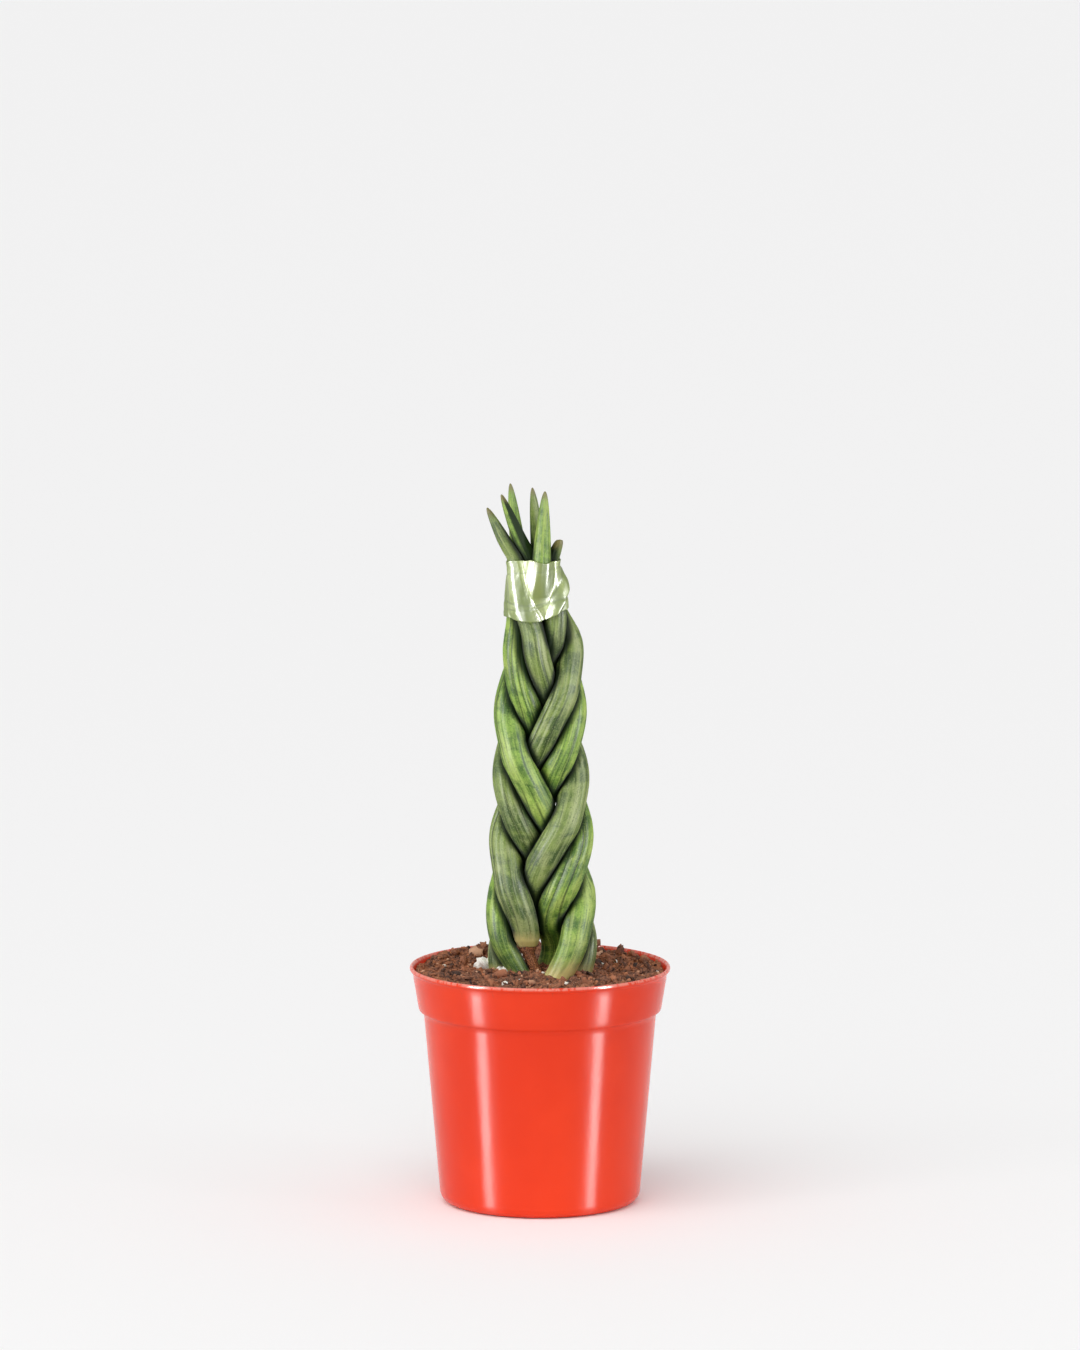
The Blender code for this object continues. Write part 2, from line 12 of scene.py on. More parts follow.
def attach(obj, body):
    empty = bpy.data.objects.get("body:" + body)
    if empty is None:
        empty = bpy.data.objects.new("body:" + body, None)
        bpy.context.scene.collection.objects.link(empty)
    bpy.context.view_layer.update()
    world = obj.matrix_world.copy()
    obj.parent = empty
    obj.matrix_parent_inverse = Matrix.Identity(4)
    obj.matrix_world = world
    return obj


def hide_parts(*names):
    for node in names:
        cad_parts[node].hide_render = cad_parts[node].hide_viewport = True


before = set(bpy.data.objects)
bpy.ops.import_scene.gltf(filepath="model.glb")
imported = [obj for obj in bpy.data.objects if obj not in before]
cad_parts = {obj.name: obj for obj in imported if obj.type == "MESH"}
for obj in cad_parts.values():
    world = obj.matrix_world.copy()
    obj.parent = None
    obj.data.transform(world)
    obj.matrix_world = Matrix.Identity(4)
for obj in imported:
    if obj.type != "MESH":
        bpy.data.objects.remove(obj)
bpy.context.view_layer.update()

# Sizes that the solids share
RIM_RADIUS = 0.0600
COLLAR_LOW_RADIUS = 0.0560
BODY_TOP_RADIUS = 0.0534
BASE_RADIUS = 0.0458
POT_HEIGHT = 0.1100
COLLAR_HEIGHT = 0.0205
STEP_DOWN = 0.0030
BASE_FILLET = 0.0055
WALL = 0.0012
RIM_BEAD = 0.0013
DRAIN_HOLES = 6
DRAIN_RADIUS = 0.0040
DRAIN_RING = 0.0270
SOIL_LEVEL = 0.1060
SOIL_FALL = 0.0016
SOIL_MOUND = 0.0026
SOIL_LUMP = 0.0011
LEAF_FOOT = 0.0800
STRAIGHT_TOP = 0.0960
TAPE_LOW = 0.2718
TAPE_RISE = 0.0055
TAPE_HIGH = 0.2985
TURN = 0.1690
SPREAD = 0.0360
TAPE_HALF_WIDTH = 0.0146
TAPE_HALF_DEPTH = 0.0114
TAPE_MOUTH = 0.74
TAPE_REACH = 0.0160
LEAN = 0.0030
FOOT_SLANT = 0.62
RIBS = 9
RIB_DEPTH = 0.10
LEAF_TWIST = 0.9
TRACK_RISE = 0.0040
TRACK_TOP = 0.3400
SETTLE_STEPS = 900
PRESS = 0.82
LINE_EASE = 0.0004
TAPE_COVER = 0.0040
TRUNK_HEIGHTS = (0.0, 0.150, 0.200, 0.258, 0.2725, TAPE_HIGH)
NECK_THICKNESS = 0.0108
FOOT_SPAN = (0.104, 0.146)
WITHERED_SPAN = (0.116, 0.123)
WITHERED_SHARE = 0.46
STUB_BLUNTNESS = 0.24
TIP_BLUNTNESS = 0.50
LINE_DEPTH = 0.010

# How the plait settles
PULL_FALL = 0.000045
PULL_LEFT = 0.000010
PULL_EASE = 0.004
BURIED_BELOW = 0.104
BURIED_PULL = 0.25
PUSH_SHARE = 0.14
TAPE_GRIP = 0.3
MOUTH_GRIP = 0.06
SOIL_GRIP = 0.05
SOIL_GRIP_TOP = 0.128
SOIL_GRIP_FADE = 0.022
TIP_GRIP = 0.3
STIFFNESS = 0.05
EASING = 0.02
LEAN_FROM = 0.262
LEAN_FADE = 0.030

# Each leaf: crossing height, tip, place in the tape's mouth, place in the soil, thickness low down
LEAVES = (
    (0.1553, (-0.0211, -0.002, 0.3226), (-0.0072, -0.0032), (-0.0178, 0.0035), 0.0158),
    (0.1287, (-0.0106, 0.008, 0.3325), (-0.0062, 0.0044), (0.0050, 0.0125), 0.0160),
    (0.0971, (0.0053, -0.006, 0.3306), (0.0036, -0.0046), (0.0080, -0.0120), 0.0162),
    (0.0775, (0.0120, -0.003, 0.3080), (0.0080, -0.0004), (0.0172, -0.0010), 0.0154),
    (0.2074, (-0.0005, 0.003, 0.3312), (0.0026, 0.0040), (-0.0014, -0.0034), 0.0156),
    (0.1850, (-0.0146, -0.006, 0.3292), (-0.0020, 0.0000), (-0.0084, -0.0050), 0.0160),
)
CROSSING = np.array([leaf[0] for leaf in LEAVES])
TIPS = np.array([leaf[1] for leaf in LEAVES])
MOUTHS = np.array([leaf[2] for leaf in LEAVES])
FEET = np.array([leaf[3] for leaf in LEAVES])
THICKNESS = np.array([leaf[4] for leaf in LEAVES])
TOP_THICKNESS = (0.0082, 0.0082, 0.0092, 0.0064, 0.0082, 0.0082)
STUB = 3
WITHERED = 4
FOOT_SHARE = (0.72, 0.90, 0.74, 0.85, 0.78, 0.58)
OLIVE_LEAVES = (0, 3, 4)

# Fine detail
DARK_SIDE_LEAF = 5  # the leaf with painted shade down one side above the tape
DARK_SIDE_WAY = (0.80, -0.60)
DARK_SIDE_SHADE = 0.75
FOOT_FADE = (
    (0.104, 0.114), (0.104, 0.114), (0.104, 0.122),
    (0.104, 0.116), (0.120, 0.130), (0.104, 0.112),
)
SHRUNK_SPAN = (0.1185, 0.1215)
SKIN_RADIUS = 0.0062
SKIN_SPACING = 0.05
FILM_RADIUS = 0.015
FINE_GAP = 0.00035
SHADE_REACH = 0.0054
FINE_RISE = 0.0010
FINE_SIDES = 108
POT_SIDES = 192
SOIL_SIDES = 200
SOIL_RINGS = 64
SOIL_BASE = 0.0016
SOIL_FIT = 0.0003
SOIL_SIDE_HEIGHTS = (0.097, 0.0885, 0.086, 0.0080, 0.0045)
SOIL_BANK = 0.0022
CRUMB_RELIEF = 0.0013
GRIT_RELIEF = 0.0008
GRAINS = 2800
GRAIN_SIZES = (0.00035, 0.0013)
BARK_BITS = 300
BARK_SIZES = (0.0011, 0.0032)
PERLITE = 26
PERLITE_SIZES = (0.0006, 0.0017)
PERLITE_STONES = ((-0.0240, 0.0040, 0.0048), (-0.0176, -0.0050, 0.0032), (0.0125, -0.0235, 0.0016))
TAPE_SIDES = 220
TAPE_RINGS = 90
FILM_THICKNESS = 0.00030
FOLD_RISE = 0.0016
PLEAT_RISE = 0.00042
FILM_LAYERS = ((0.30, -0.10, 0.00030), (0.62, 0.22, 0.00022), (-0.05, 0.30, 0.00025))

# Colours
GREEN_DARK = (0.065, 0.155, 0.020)
GREEN_MIDDLE = (0.245, 0.410, 0.055)
GREEN_LIGHT = (0.450, 0.580, 0.125)
OLIVE_DARK = (0.060, 0.112, 0.020)
OLIVE_MIDDLE = (0.205, 0.285, 0.060)
OLIVE_LIGHT = (0.370, 0.430, 0.165)
DRY_TIP = (0.205, 0.175, 0.060)
PALE_FOOT = (0.70, 0.60, 0.22)
BARK_DARK = (0.075, 0.016, 0.010)
BARK_LIGHT = (0.56, 0.20, 0.090)
POT_RED = (0.745, 0.036, 0.006)
POT_ORANGE = (0.810, 0.045, 0.008)
POT_SPECK = (0.70, 0.036, 0.016)
POT_SOILED = (0.22, 0.07, 0.04)
POT_RIM_HIGHLIGHT = (0.85, 0.42, 0.34)
SOIL_DARK = (0.052, 0.016, 0.008)
SOIL_BROWN = (0.335, 0.135, 0.066)
SOIL_RED = (0.420, 0.150, 0.062)
CRUMB_BLACK = (0.022, 0.011, 0.007)
CRUMB_RED = (0.560, 0.210, 0.098)
CRUMB_PALE = (0.720, 0.420, 0.260)
PERLITE_PORE = (0.62, 0.55, 0.42)
PERLITE_WHITE = (0.90, 0.88, 0.80)
PERLITE_STAIN = (0.62, 0.44, 0.26)
FILM_DARK = (0.150, 0.210, 0.030)
FILM_MIDDLE = (0.270, 0.350, 0.065)
FILM_BRIDGE = (0.500, 0.590, 0.240)
FILM_LIGHT = (0.560, 0.640, 0.310)
FILM_SHADE_BAND = (0.190, 0.240, 0.030)
FILM_EDGE = (0.120, 0.170, 0.030)
PAPER = (0.90, 0.895, 0.89)
STUDIO_WHITE = (0.985, 0.99, 1.0)

# Picture
IMAGE_HEIGHT = 1350
METRES_A_PIXEL = 0.000458
CAMERA_DISTANCE = 4.0
CAMERA_PITCH = 8.45
AIM_HEIGHT = 0.245
SENSOR = 36.0
FLOOR_REACH = 60.0
WORLD_STRENGTH = 0.66
SUN_STRENGTH = 1.40
SUN_WIDTH = 60.0
SUN_WAY = (0.30, 0.62, -0.85)
STRIP_ANGLE = 59.0
STRIP_DISTANCE = 1.1
STRIP_HEIGHT = 0.50
STRIP_AIM = 0.30
STRIP_WIDTH = 0.20
STRIP_LENGTH = 0.98
STRIP_POWER = 100.0


# Routes of the leaves

def leaf_widths(heights):
    """Thickness of each leaf at each height."""
    rows = []
    for leaf in range(6):
        low = THICKNESS[leaf]
        top = TOP_THICKNESS[leaf]
        knots = (low, 0.97 * low, 0.86 * low, 0.79 * low, NECK_THICKNESS, top)
        row = np.interp(heights, TRUNK_HEIGHTS, knots)
        row = row * np.interp(heights, FOOT_SPAN, (FOOT_SHARE[leaf], 1.0))
        tip = TIPS[leaf, 2]
        left = np.clip((tip - heights) / (tip - TAPE_HIGH + TAPE_COVER), 0.0, 1.0)
        power = STUB_BLUNTNESS if leaf == STUB else TIP_BLUNTNESS
        row = np.where(heights > TAPE_HIGH - TAPE_COVER, np.minimum(row, 1.04 * top * left ** power), row)
        rows.append(row)
    rows = np.array(rows)
    rows[WITHERED] *= np.interp(heights, WITHERED_SPAN, (WITHERED_SHARE, 1.0))
    return rows


def first_tracks(heights):
    """Wide figure-eight tracks of a three-strand braid, two leaves to a strand."""
    angle = math.pi / 2 + 2 * math.pi * (CROSSING[:, None] - heights[None, :]) / TURN
    return np.stack([SPREAD * np.cos(angle), -SPREAD * np.sin(2 * angle)], axis=-1)


def push_apart(tracks, thick):
    """How far each point of each leaf is pushed by the leaves that it touches."""
    count = tracks.shape[1]
    reach = int(THICKNESS.max() / TRACK_RISE)
    push = np.zeros_like(tracks)
    for shift in range(-reach, reach + 1):
        low = max(0, -shift)
        high = min(count, count - shift)
        here = tracks[:, None, low:high]
        there = tracks[None, :, low + shift:high + shift]
        apart = there - here
        distance = np.sqrt((apart ** 2).sum(-1) + (shift * TRACK_RISE) ** 2) + 1e-9
        need = 0.5 * PRESS * (thick[:, None, low:high] + thick[None, :, low + shift:high + shift])
        short = np.clip(need - distance, 0, None)
        short[np.arange(6), np.arange(6)] = 0
        push[:, low:high] -= ((short / distance)[..., None] * apart).sum(1)
    return push


def hold_in_tape(tracks, thick, heights):
    """Draw the leaves into the oval that the tape leaves them."""
    low = TAPE_LOW - TAPE_COVER + (TAPE_RISE + 0.002) * np.clip(tracks[..., 0] / 0.010, 0, 1)
    inside = (heights > low) & (heights < TAPE_HIGH + 0.002)
    narrow = np.interp(heights, (TAPE_LOW, TAPE_HIGH), (1.0, TAPE_MOUTH))
    scale = np.sqrt((tracks[..., 0] / TAPE_HALF_WIDTH) ** 2 + (tracks[..., 1] / TAPE_HALF_DEPTH) ** 2)
    limit = narrow * (1.0 - 0.38 * thick / TAPE_HALF_DEPTH)
    over = np.clip(scale / limit - 1, 0, None) * inside
    tracks = tracks - TAPE_GRIP * (over / (1 + over))[..., None] * tracks
    near = np.clip(1 - (TAPE_HIGH - heights) / TAPE_REACH, 0, 1) * (heights < TAPE_HIGH)
    return tracks + MOUTH_GRIP * near[None, :, None] * (MOUTHS[:, None] - tracks)


def stand_in_soil(tracks, heights):
    """Draw the lowest parts of the leaves to their slanting places in the soil."""
    angle = math.pi / 2 + 2 * math.pi * (CROSSING - SOIL_LEVEL) / TURN
    places = np.repeat(FEET[:, None], len(heights), axis=1)
    places[..., 0] += FOOT_SLANT * np.sin(angle)[:, None] * (heights - SOIL_LEVEL)[None, :]
    near = np.clip((SOIL_GRIP_TOP - heights) / SOIL_GRIP_FADE, 0, 1)
    return tracks + SOIL_GRIP * near[None, :, None] * (places - tracks)


def aim_at_tips(tracks, heights):
    """Above the tape each leaf runs straight to its own tip."""
    root = int(round((TAPE_HIGH - TAPE_COVER - heights[0]) / TRACK_RISE))
    share = (heights[None, :] - heights[root]) / (TIPS[:, 2:3] - heights[root])
    start = tracks[:, root:root + 1]
    line = start + share[..., None] * (TIPS[:, None, :2] - start)
    above = (heights > TAPE_HIGH)[None, :, None]
    return tracks + TIP_GRIP * np.clip(2 * share, 0, 1)[..., None] * (line - tracks) * above


def smooth_tracks(tracks):
    """Leaves are stiff, so their tracks are eased at every step."""
    first = tracks[:, :1]
    last = tracks[:, -1:]
    slope = last - tracks[:, -2:-1]
    longer = np.concatenate([first, first, tracks, last + slope, last + 2 * slope], axis=1)
    bend = longer[:, 2:] - 2 * longer[:, 1:-1] + longer[:, :-2]
    change = bend[:, 2:] - 2 * bend[:, 1:-1] + bend[:, :-2]
    return tracks - STIFFNESS * change + EASING * bend[:, 1:-1]


def leaf_tracks():
    """Plait the leaves: pull the wide tracks together until they press on each other."""
    heights = np.arange(LEAF_FOOT, TRACK_TOP, TRACK_RISE)
    thick = leaf_widths(heights)
    tracks = first_tracks(heights)
    for step in range(SETTLE_STEPS):
        pull = PULL_FALL * (1 - step / SETTLE_STEPS) + PULL_LEFT
        strength = np.where(heights < BURIED_BELOW, BURIED_PULL * pull, pull)
        size = np.linalg.norm(tracks, axis=-1, keepdims=True)
        push = push_apart(tracks, thick)
        drawn = strength[None, :, None] * tracks / (size + PULL_EASE)
        tracks = tracks - drawn + PUSH_SHARE * push
        tracks = hold_in_tape(tracks, thick, heights)
        tracks = stand_in_soil(tracks, heights)
        tracks = aim_at_tips(tracks, heights)
        tracks = smooth_tracks(tracks)
    straight = int(round((STRAIGHT_TOP - LEAF_FOOT) / TRACK_RISE))
    tracks[:, :straight] = tracks[:, straight:straight + 1]
    lean = -LEAN * np.clip((heights - LEAN_FROM) / LEAN_FADE, 0, 1)
    tracks[..., 0] += lean[None, :]
    return heights, tracks


def sample_tracks(heights, tracks, wanted):
    """Points and slopes of all leaves at the wanted heights, on smooth curves."""
    place = np.clip((wanted - heights[0]) / TRACK_RISE, 0, len(heights) - 1.0001)
    cell = place.astype(int)
    part = (place - cell)[None, :, None]
    last = len(heights) - 1
    before = tracks[:, np.clip(cell - 1, 0, last)]
    start = tracks[:, cell]
    end = tracks[:, np.clip(cell + 1, 0, last)]
    after = tracks[:, np.clip(cell + 2, 0, last)]
    cubic = -before + 3 * start - 3 * end + after
    square = 2 * before - 5 * start + 4 * end - after
    points = 0.5 * (((cubic * part + square) * part + (end - before)) * part + 2 * start)
    slopes = 0.5 * ((3 * cubic * part + 2 * square) * part + (end - before)) / TRACK_RISE
    return points, slopes


# Sections of the leaves

def support(normals, slopes, thick):
    """How far the level section of a sloping round leaf reaches towards a direction."""
    return 0.5 * thick * np.sqrt(1 + (normals * slopes).sum(-1) ** 2)


def pressed_limits(points, slopes, thick, gap):
    """Straight lines, level by level, that keep each pair of pressed leaves apart."""
    turns = np.linspace(0, 2 * math.pi, 72, endpoint=False)
    ways = np.stack([np.cos(turns), np.sin(turns)], axis=-1)
    reach = 0.5 * thick[..., None] * np.sqrt(1 + (slopes @ ways.T) ** 2)
    apart = points[None, :] - points[:, None]
    room = apart @ ways.T - reach[:, None] - reach[None, :]
    weight = np.exp((room - room.max(-1, keepdims=True)) / LINE_EASE)
    normals = weight @ ways
    normals = normals / np.linalg.norm(normals, axis=-1, keepdims=True)
    own = support(normals, slopes[:, None], thick[:, None])
    other = support(normals, slopes[None, :], thick[None, :])
    room = (apart * normals).sum(-1) - own - other
    return normals, own + 0.5 * room - 0.5 * gap


def rib_shape(turns, along, leaf):
    """Rounded ribs with narrower grooves between them, uneven in depth, and fine lines."""
    drift = 0.10 * np.sin(31 * along + leaf) + 0.05 * np.sin(83 * along + 2 * leaf)
    angle = turns + drift
    wave = 0.5 + 0.5 * np.cos(RIBS * angle)
    uneven = 0.55 + 0.30 * np.sin(angle + 1.7 * leaf) + 0.25 * np.sin(2 * angle + leaf + 12 * along)
    groove = (1.0 - wave ** 0.5) * np.clip(uneven, 0.1, 1.0)
    fine = 0.5 + 0.5 * np.cos(4 * RIBS * angle + 1.3 * leaf)
    return 1.0 - RIB_DEPTH * groove - LINE_DEPTH * (1.0 - fine ** 0.8), groove


def level_section(leaf, points, slopes, thick, limits, turns, heights):
    """All level sections of one leaf, pressed flat with rounded edges, and their grooves."""
    ways = np.stack([np.cos(turns), np.sin(turns)], axis=-1)
    slope = slopes[leaf]
    lean = (slope @ ways.T) / np.sqrt(1 + (slope ** 2).sum(-1))[:, None]
    radius = 0.5 * thick[leaf][:, None] / np.sqrt(1 - lean ** 2)
    ribs, groove = rib_shape(turns[None, :] + LEAF_TWIST * leaf, heights[:, None], leaf)
    radius = radius * ribs
    normals, reach = limits
    power = 14.0
    total = radius ** -power
    for other in range(6):
        if other == leaf:
            continue
        facing = normals[leaf, other] @ ways.T
        near = (facing > 0.05) & (thick[other] > 0.0004)[:, None]
        limit = np.maximum(reach[leaf, other][:, None] / np.maximum(facing, 0.05), 0.0003)
        total = total + np.where(near, limit ** -power, 0.0)
    pressed = total ** (-1.0 / power)
    return pressed[..., None] * ways, groove


def closeness(leaf, flat, points, thick):
    """From 1 where another leaf touches this one at the same level, down to 0 away from it: the mask of
    painted shade between the leaves.
    """
    places = points[leaf][:, None] + flat
    nearest = np.full(places.shape[:2], 1.0)
    for other in range(6):
        if other == leaf:
            continue
        away = np.linalg.norm(places - points[other][:, None], axis=-1) - 0.5 * thick[other][:, None]
        away = np.where(thick[other][:, None] > 0.0005, away, 1.0)
        nearest = np.minimum(nearest, away)
    return 1 - np.clip(nearest / SHADE_REACH, 0, 1)


# Mesh helpers

def mesh_piece(name, points, faces, material, smooth=True):
    """A new object from arrays of points and faces (quads or triangles)."""
    mesh = bpy.data.meshes.new(name)
    mesh.from_pydata([tuple(point) for point in points], [], [tuple(face) for face in faces])
    mesh.materials.append(material)
    if smooth:
        mesh.shade_smooth()
    mesh.validate()
    piece = bpy.data.objects.new(name, mesh)
    bpy.context.scene.collection.objects.link(piece)
    return piece


def add_values(piece, name, values):
    """A number for each point, which the material reads."""
    layer = piece.data.attributes.new(name, "FLOAT", "POINT")
    layer.data.foreach_set("value", np.asarray(values, dtype=np.float32).ravel())


def add_vectors(piece, name, vectors):
    """A vector for each point, which the material reads."""
    layer = piece.data.attributes.new(name, "FLOAT_VECTOR", "POINT")
    layer.data.foreach_set("vector", np.asarray(vectors, dtype=np.float32).ravel())


def ring_faces(rows, sides, closed=False):
    """Quads between rows of a tube; the last row joins the first if closed."""
    faces = []
    last = rows if closed else rows - 1
    for row in range(last):
        low = row * sides
        high = ((row + 1) % rows) * sides
        for side in range(sides):
            after = (side + 1) % sides
            faces.append((low + side, low + after, high + after, high + side))
    return faces


# Materials

class Shader:
    """A Principled material and short ways to add nodes to it."""

    def __init__(self, name):
        self.material = bpy.data.materials.new(name)
        self.material.use_nodes = True
        self.tree = self.material.node_tree
        self.shader = self.tree.nodes["Principled BSDF"]

    def node(self, kind, **settings):
        made = self.tree.nodes.new(kind)
        for key, value in settings.items():
            setattr(made, key, value)
        return made

    def link(self, output, socket):
        self.tree.links.new(output, socket)

    def put(self, socket, value):
        if isinstance(value, bpy.types.NodeSocket):
            self.link(value, socket)
        else:
            socket.default_value = value

    def set(self, **values):
        for key, value in values.items():
            self.put(self.shader.inputs[key.replace("_", " ")], value)

    def attribute(self, name, output="Fac"):
        return self.node("ShaderNodeAttribute", attribute_name=name).outputs[output]

    def scaled(self, vector, scale):
        mapping = self.node("ShaderNodeMapping")
        self.put(mapping.inputs["Vector"], vector)
        mapping.inputs["Scale"].default_value = scale
        return mapping.outputs["Vector"]

    def noise(self, vector, scale, detail=3.0, roughness=0.55, distortion=0.0):
        made = self.node("ShaderNodeTexNoise")
        self.put(made.inputs["Vector"], vector)
        made.inputs["Scale"].default_value = scale
        made.inputs["Detail"].default_value = detail
        made.inputs["Roughness"].default_value = roughness
        made.inputs["Distortion"].default_value = distortion
        return made.outputs["Fac"]

    def range(self, value, low, high, to_low=0.0, to_high=1.0):
        made = self.node("ShaderNodeMapRange", interpolation_type="SMOOTHSTEP")
        self.put(made.inputs["Value"], value)
        made.inputs["From Min"].default_value = low
        made.inputs["From Max"].default_value = high
        made.inputs["To Min"].default_value = to_low
        made.inputs["To Max"].default_value = to_high
        return made.outputs["Result"]

    def math(self, operation, first, second=0.0):
        made = self.node("ShaderNodeMath", operation=operation)
        self.put(made.inputs[0], first)
        self.put(made.inputs[1], second)
        return made.outputs[0]

    def frayed(self, value, pattern, amount):
        """The value with its edge made uneven by a pattern that runs from 0 to 1."""
        return self.math("ADD", value, self.math("MULTIPLY", self.math("SUBTRACT", pattern, 0.5), amount))

    def mix(self, factor, first, second):
        made = self.node("ShaderNodeMix", data_type="RGBA")
        self.put(made.inputs[0], factor)
        for socket, value in ((made.inputs[6], first), (made.inputs[7], second)):
            self.put(socket, (*value, 1.0) if isinstance(value, tuple) else value)
        return made.outputs[2]

    def bump(self, height, distance, strength=1.0, normal=None):
        made = self.node("ShaderNodeBump")
        self.put(made.inputs["Height"], height)
        made.inputs["Distance"].default_value = distance
        made.inputs["Strength"].default_value = strength
        if normal is not None:
            self.link(normal, made.inputs["Normal"])
        return made.outputs["Normal"]


def leaf_material(name, dark, middle, light, dry_tip):
    """Waxy skin: cross bands and blotches, fine lengthwise lines, dry tips, with painted shade in the
    grooves and where other leaves press close.
    """
    s = Shader(name)
    straight = s.attribute("straight", "Vector")
    painted_shade = s.attribute("painted_shade")
    bands = s.noise(s.scaled(straight, (0.45, 0.45, 1.0)), 105, 4.0, 0.60, 0.4)
    blotches = s.noise(s.scaled(straight, (1.0, 1.0, 0.40)), 165, 4.0, 0.62)
    lines = s.noise(s.scaled(straight, (1.0, 1.0, 0.030)), 560, 3.0, 0.55)
    hairs = s.noise(s.scaled(straight, (1.0, 1.0, 0.030)), 1900, 2.0, 0.6)
    specks = s.noise(straight, 1500, 2.0, 0.6)
    deep = (0.40 * dark[0], 0.45 * dark[1], 0.40 * dark[2])
    # Near-black colour of painted shade, used in the grooves and between the leaves
    gap = (0.10 * dark[0], 0.14 * dark[1], 0.20 * dark[2])
    colour = s.mix(s.range(bands, 0.38, 0.60), dark, middle)
    colour = s.mix(s.range(blotches, 0.48, 0.66, 0.0, 0.75), colour, light)
    colour = s.mix(s.range(blotches, 0.44, 0.30, 0.0, 0.55), colour, deep)
    colour = s.mix(s.range(lines, 0.52, 0.68, 0.0, 0.50), colour, light)
    colour = s.mix(s.range(lines, 0.46, 0.32, 0.0, 0.75), colour, deep)
    colour = s.mix(s.range(hairs, 0.52, 0.70, 0.0, 0.40), colour, light)
    colour = s.mix(s.range(hairs, 0.46, 0.30, 0.0, 0.45), colour, deep)
    # Painted shade in the grooves between the ribs
    colour = s.mix(s.range(s.attribute("groove"), 0.50, 1.0, 0.0, 0.80), colour, gap)
    colour = s.mix(s.range(specks, 0.56, 0.72, 0.0, 0.60), colour, deep)
    colour = s.mix(s.range(specks, 0.44, 0.30, 0.0, 0.45), colour, light)
    # Painted shade: the skin goes near-black where another leaf presses close, frayed by the blotches
    frayed_shade = s.frayed(painted_shade, blotches, 0.5)
    colour = s.mix(s.range(frayed_shade, 0.08, 0.74, 0.0, 0.97), colour, gap)
    dry = s.frayed(s.attribute("tip_distance"), specks, 0.006)
    colour = s.mix(s.range(dry, 0.0012, 0.0052, 0.9, 0.0), colour, dry_tip)
    ragged = s.frayed(s.attribute("foot"), blotches, 0.9)
    colour = s.mix(s.range(ragged, 0.20, 0.80, 0.0, 0.85), colour, PALE_FOOT)
    bark = s.mix(s.range(specks, 0.42, 0.60), BARK_DARK, BARK_LIGHT)
    shrunk = s.frayed(s.attribute("withered"), blotches, 0.8)
    colour = s.mix(s.range(shrunk, 0.35, 0.65, 0.0, 0.95), colour, bark)
    s.set(Base_Color=colour)
    waxy = s.range(lines, 0.40, 0.65, 0.48, 0.62)
    s.set(Roughness=s.math("MAXIMUM", waxy, s.range(painted_shade, 0.0, 0.45, 0.40, 1.0)))
    s.set(Specular_IOR_Level=0.12)
    s.set(Subsurface_Weight=0.06)
    s.shader.inputs["Subsurface Radius"].default_value = (0.003, 0.004, 0.001)
    s.shader.inputs["Subsurface Scale"].default_value = 1.0
    normal = s.bump(s.math("ADD", s.math("MULTIPLY", hairs, 0.5), lines), 0.00034, 0.70)
    s.set(Normal=s.bump(specks, 0.00010, 0.6, normal))
    return s.material


def pot_material():
    """Glossy thin red-orange plastic, faintly mottled, with fine mould lines round it."""
    s = Shader("pot_gloss")
    place = s.node("ShaderNodeTexCoord").outputs["Object"]
    cloud = s.noise(place, 16, 3.0, 0.5)
    grain = s.noise(place, 900, 2.0, 0.6)
    waves = s.noise(s.scaled(place, (1.0, 1.0, 0.5)), 140, 2.0, 0.5)
    colour = s.mix(s.range(cloud, 0.35, 0.65), POT_RED, POT_ORANGE)
    colour = s.mix(s.range(grain, 0.60, 0.78, 0.0, 0.25), colour, POT_SPECK)
    dust = s.noise(s.scaled(place, (1.0, 1.0, 0.35)), 420, 4.0, 0.7)
    height = s.node("ShaderNodeSeparateXYZ")
    s.link(place, height.inputs[0])
    near_rim = s.range(height.outputs[2], POT_HEIGHT - 0.008, POT_HEIGHT)
    soiled = s.math("MULTIPLY", near_rim, s.range(dust, 0.60, 0.75, 0.0, 0.5))
    colour = s.mix(soiled, colour, POT_SOILED)
    # Painted highlight: a paler line along the rim bead, broken up by the dust pattern
    rim_highlight = s.math("MULTIPLY", s.range(height.outputs[2], POT_HEIGHT - 0.0016, POT_HEIGHT - 0.0006), 0.55)
    colour = s.mix(s.math("MULTIPLY", rim_highlight, s.range(dust, 0.35, 0.55)), colour, POT_RIM_HIGHLIGHT)
    s.set(Base_Color=colour)
    s.set(Roughness=0.24)
    s.set(Specular_IOR_Level=0.22)
    s.set(Anisotropic=1.0)
    s.set(Anisotropic_Rotation=0.25)
    tangent = s.node("ShaderNodeTangent", direction_type="RADIAL", axis="Z")
    s.set(Tangent=tangent.outputs[0])
    normal = s.bump(waves, 0.00030, 0.28)
    s.set(Normal=s.bump(grain, 0.00003, 0.35, normal))
    return s.material


def soil_material():
    """Reddish brown mix; each crumb's own tone makes it black, red or pale."""
    s = Shader("potting_mix")
    place = s.node("ShaderNodeTexCoord").outputs["Object"]
    fine = s.noise(place, 900, 4.0, 0.7)
    patch = s.noise(place, 160, 3.0, 0.6)
    tone = s.attribute("tone")
    colour = s.mix(s.range(fine, 0.35, 0.68), SOIL_DARK, SOIL_BROWN)
    colour = s.mix(s.range(patch, 0.45, 0.65, 0.0, 0.6), colour, SOIL_RED)
    colour = s.mix(s.range(tone, 0.0, 0.30, 0.85, 0.0), colour, CRUMB_BLACK)
    colour = s.mix(s.range(tone, 0.50, 0.85, 0.0, 0.75), colour, CRUMB_RED)
    colour = s.mix(s.range(tone, 0.91, 0.95, 0.0, 0.85), colour, CRUMB_PALE)
    s.set(Base_Color=colour)
    s.set(Roughness=0.92)
    s.set(Specular_IOR_Level=0.12)
    s.set(Normal=s.bump(fine, 0.0005, 0.8))
    return s.material


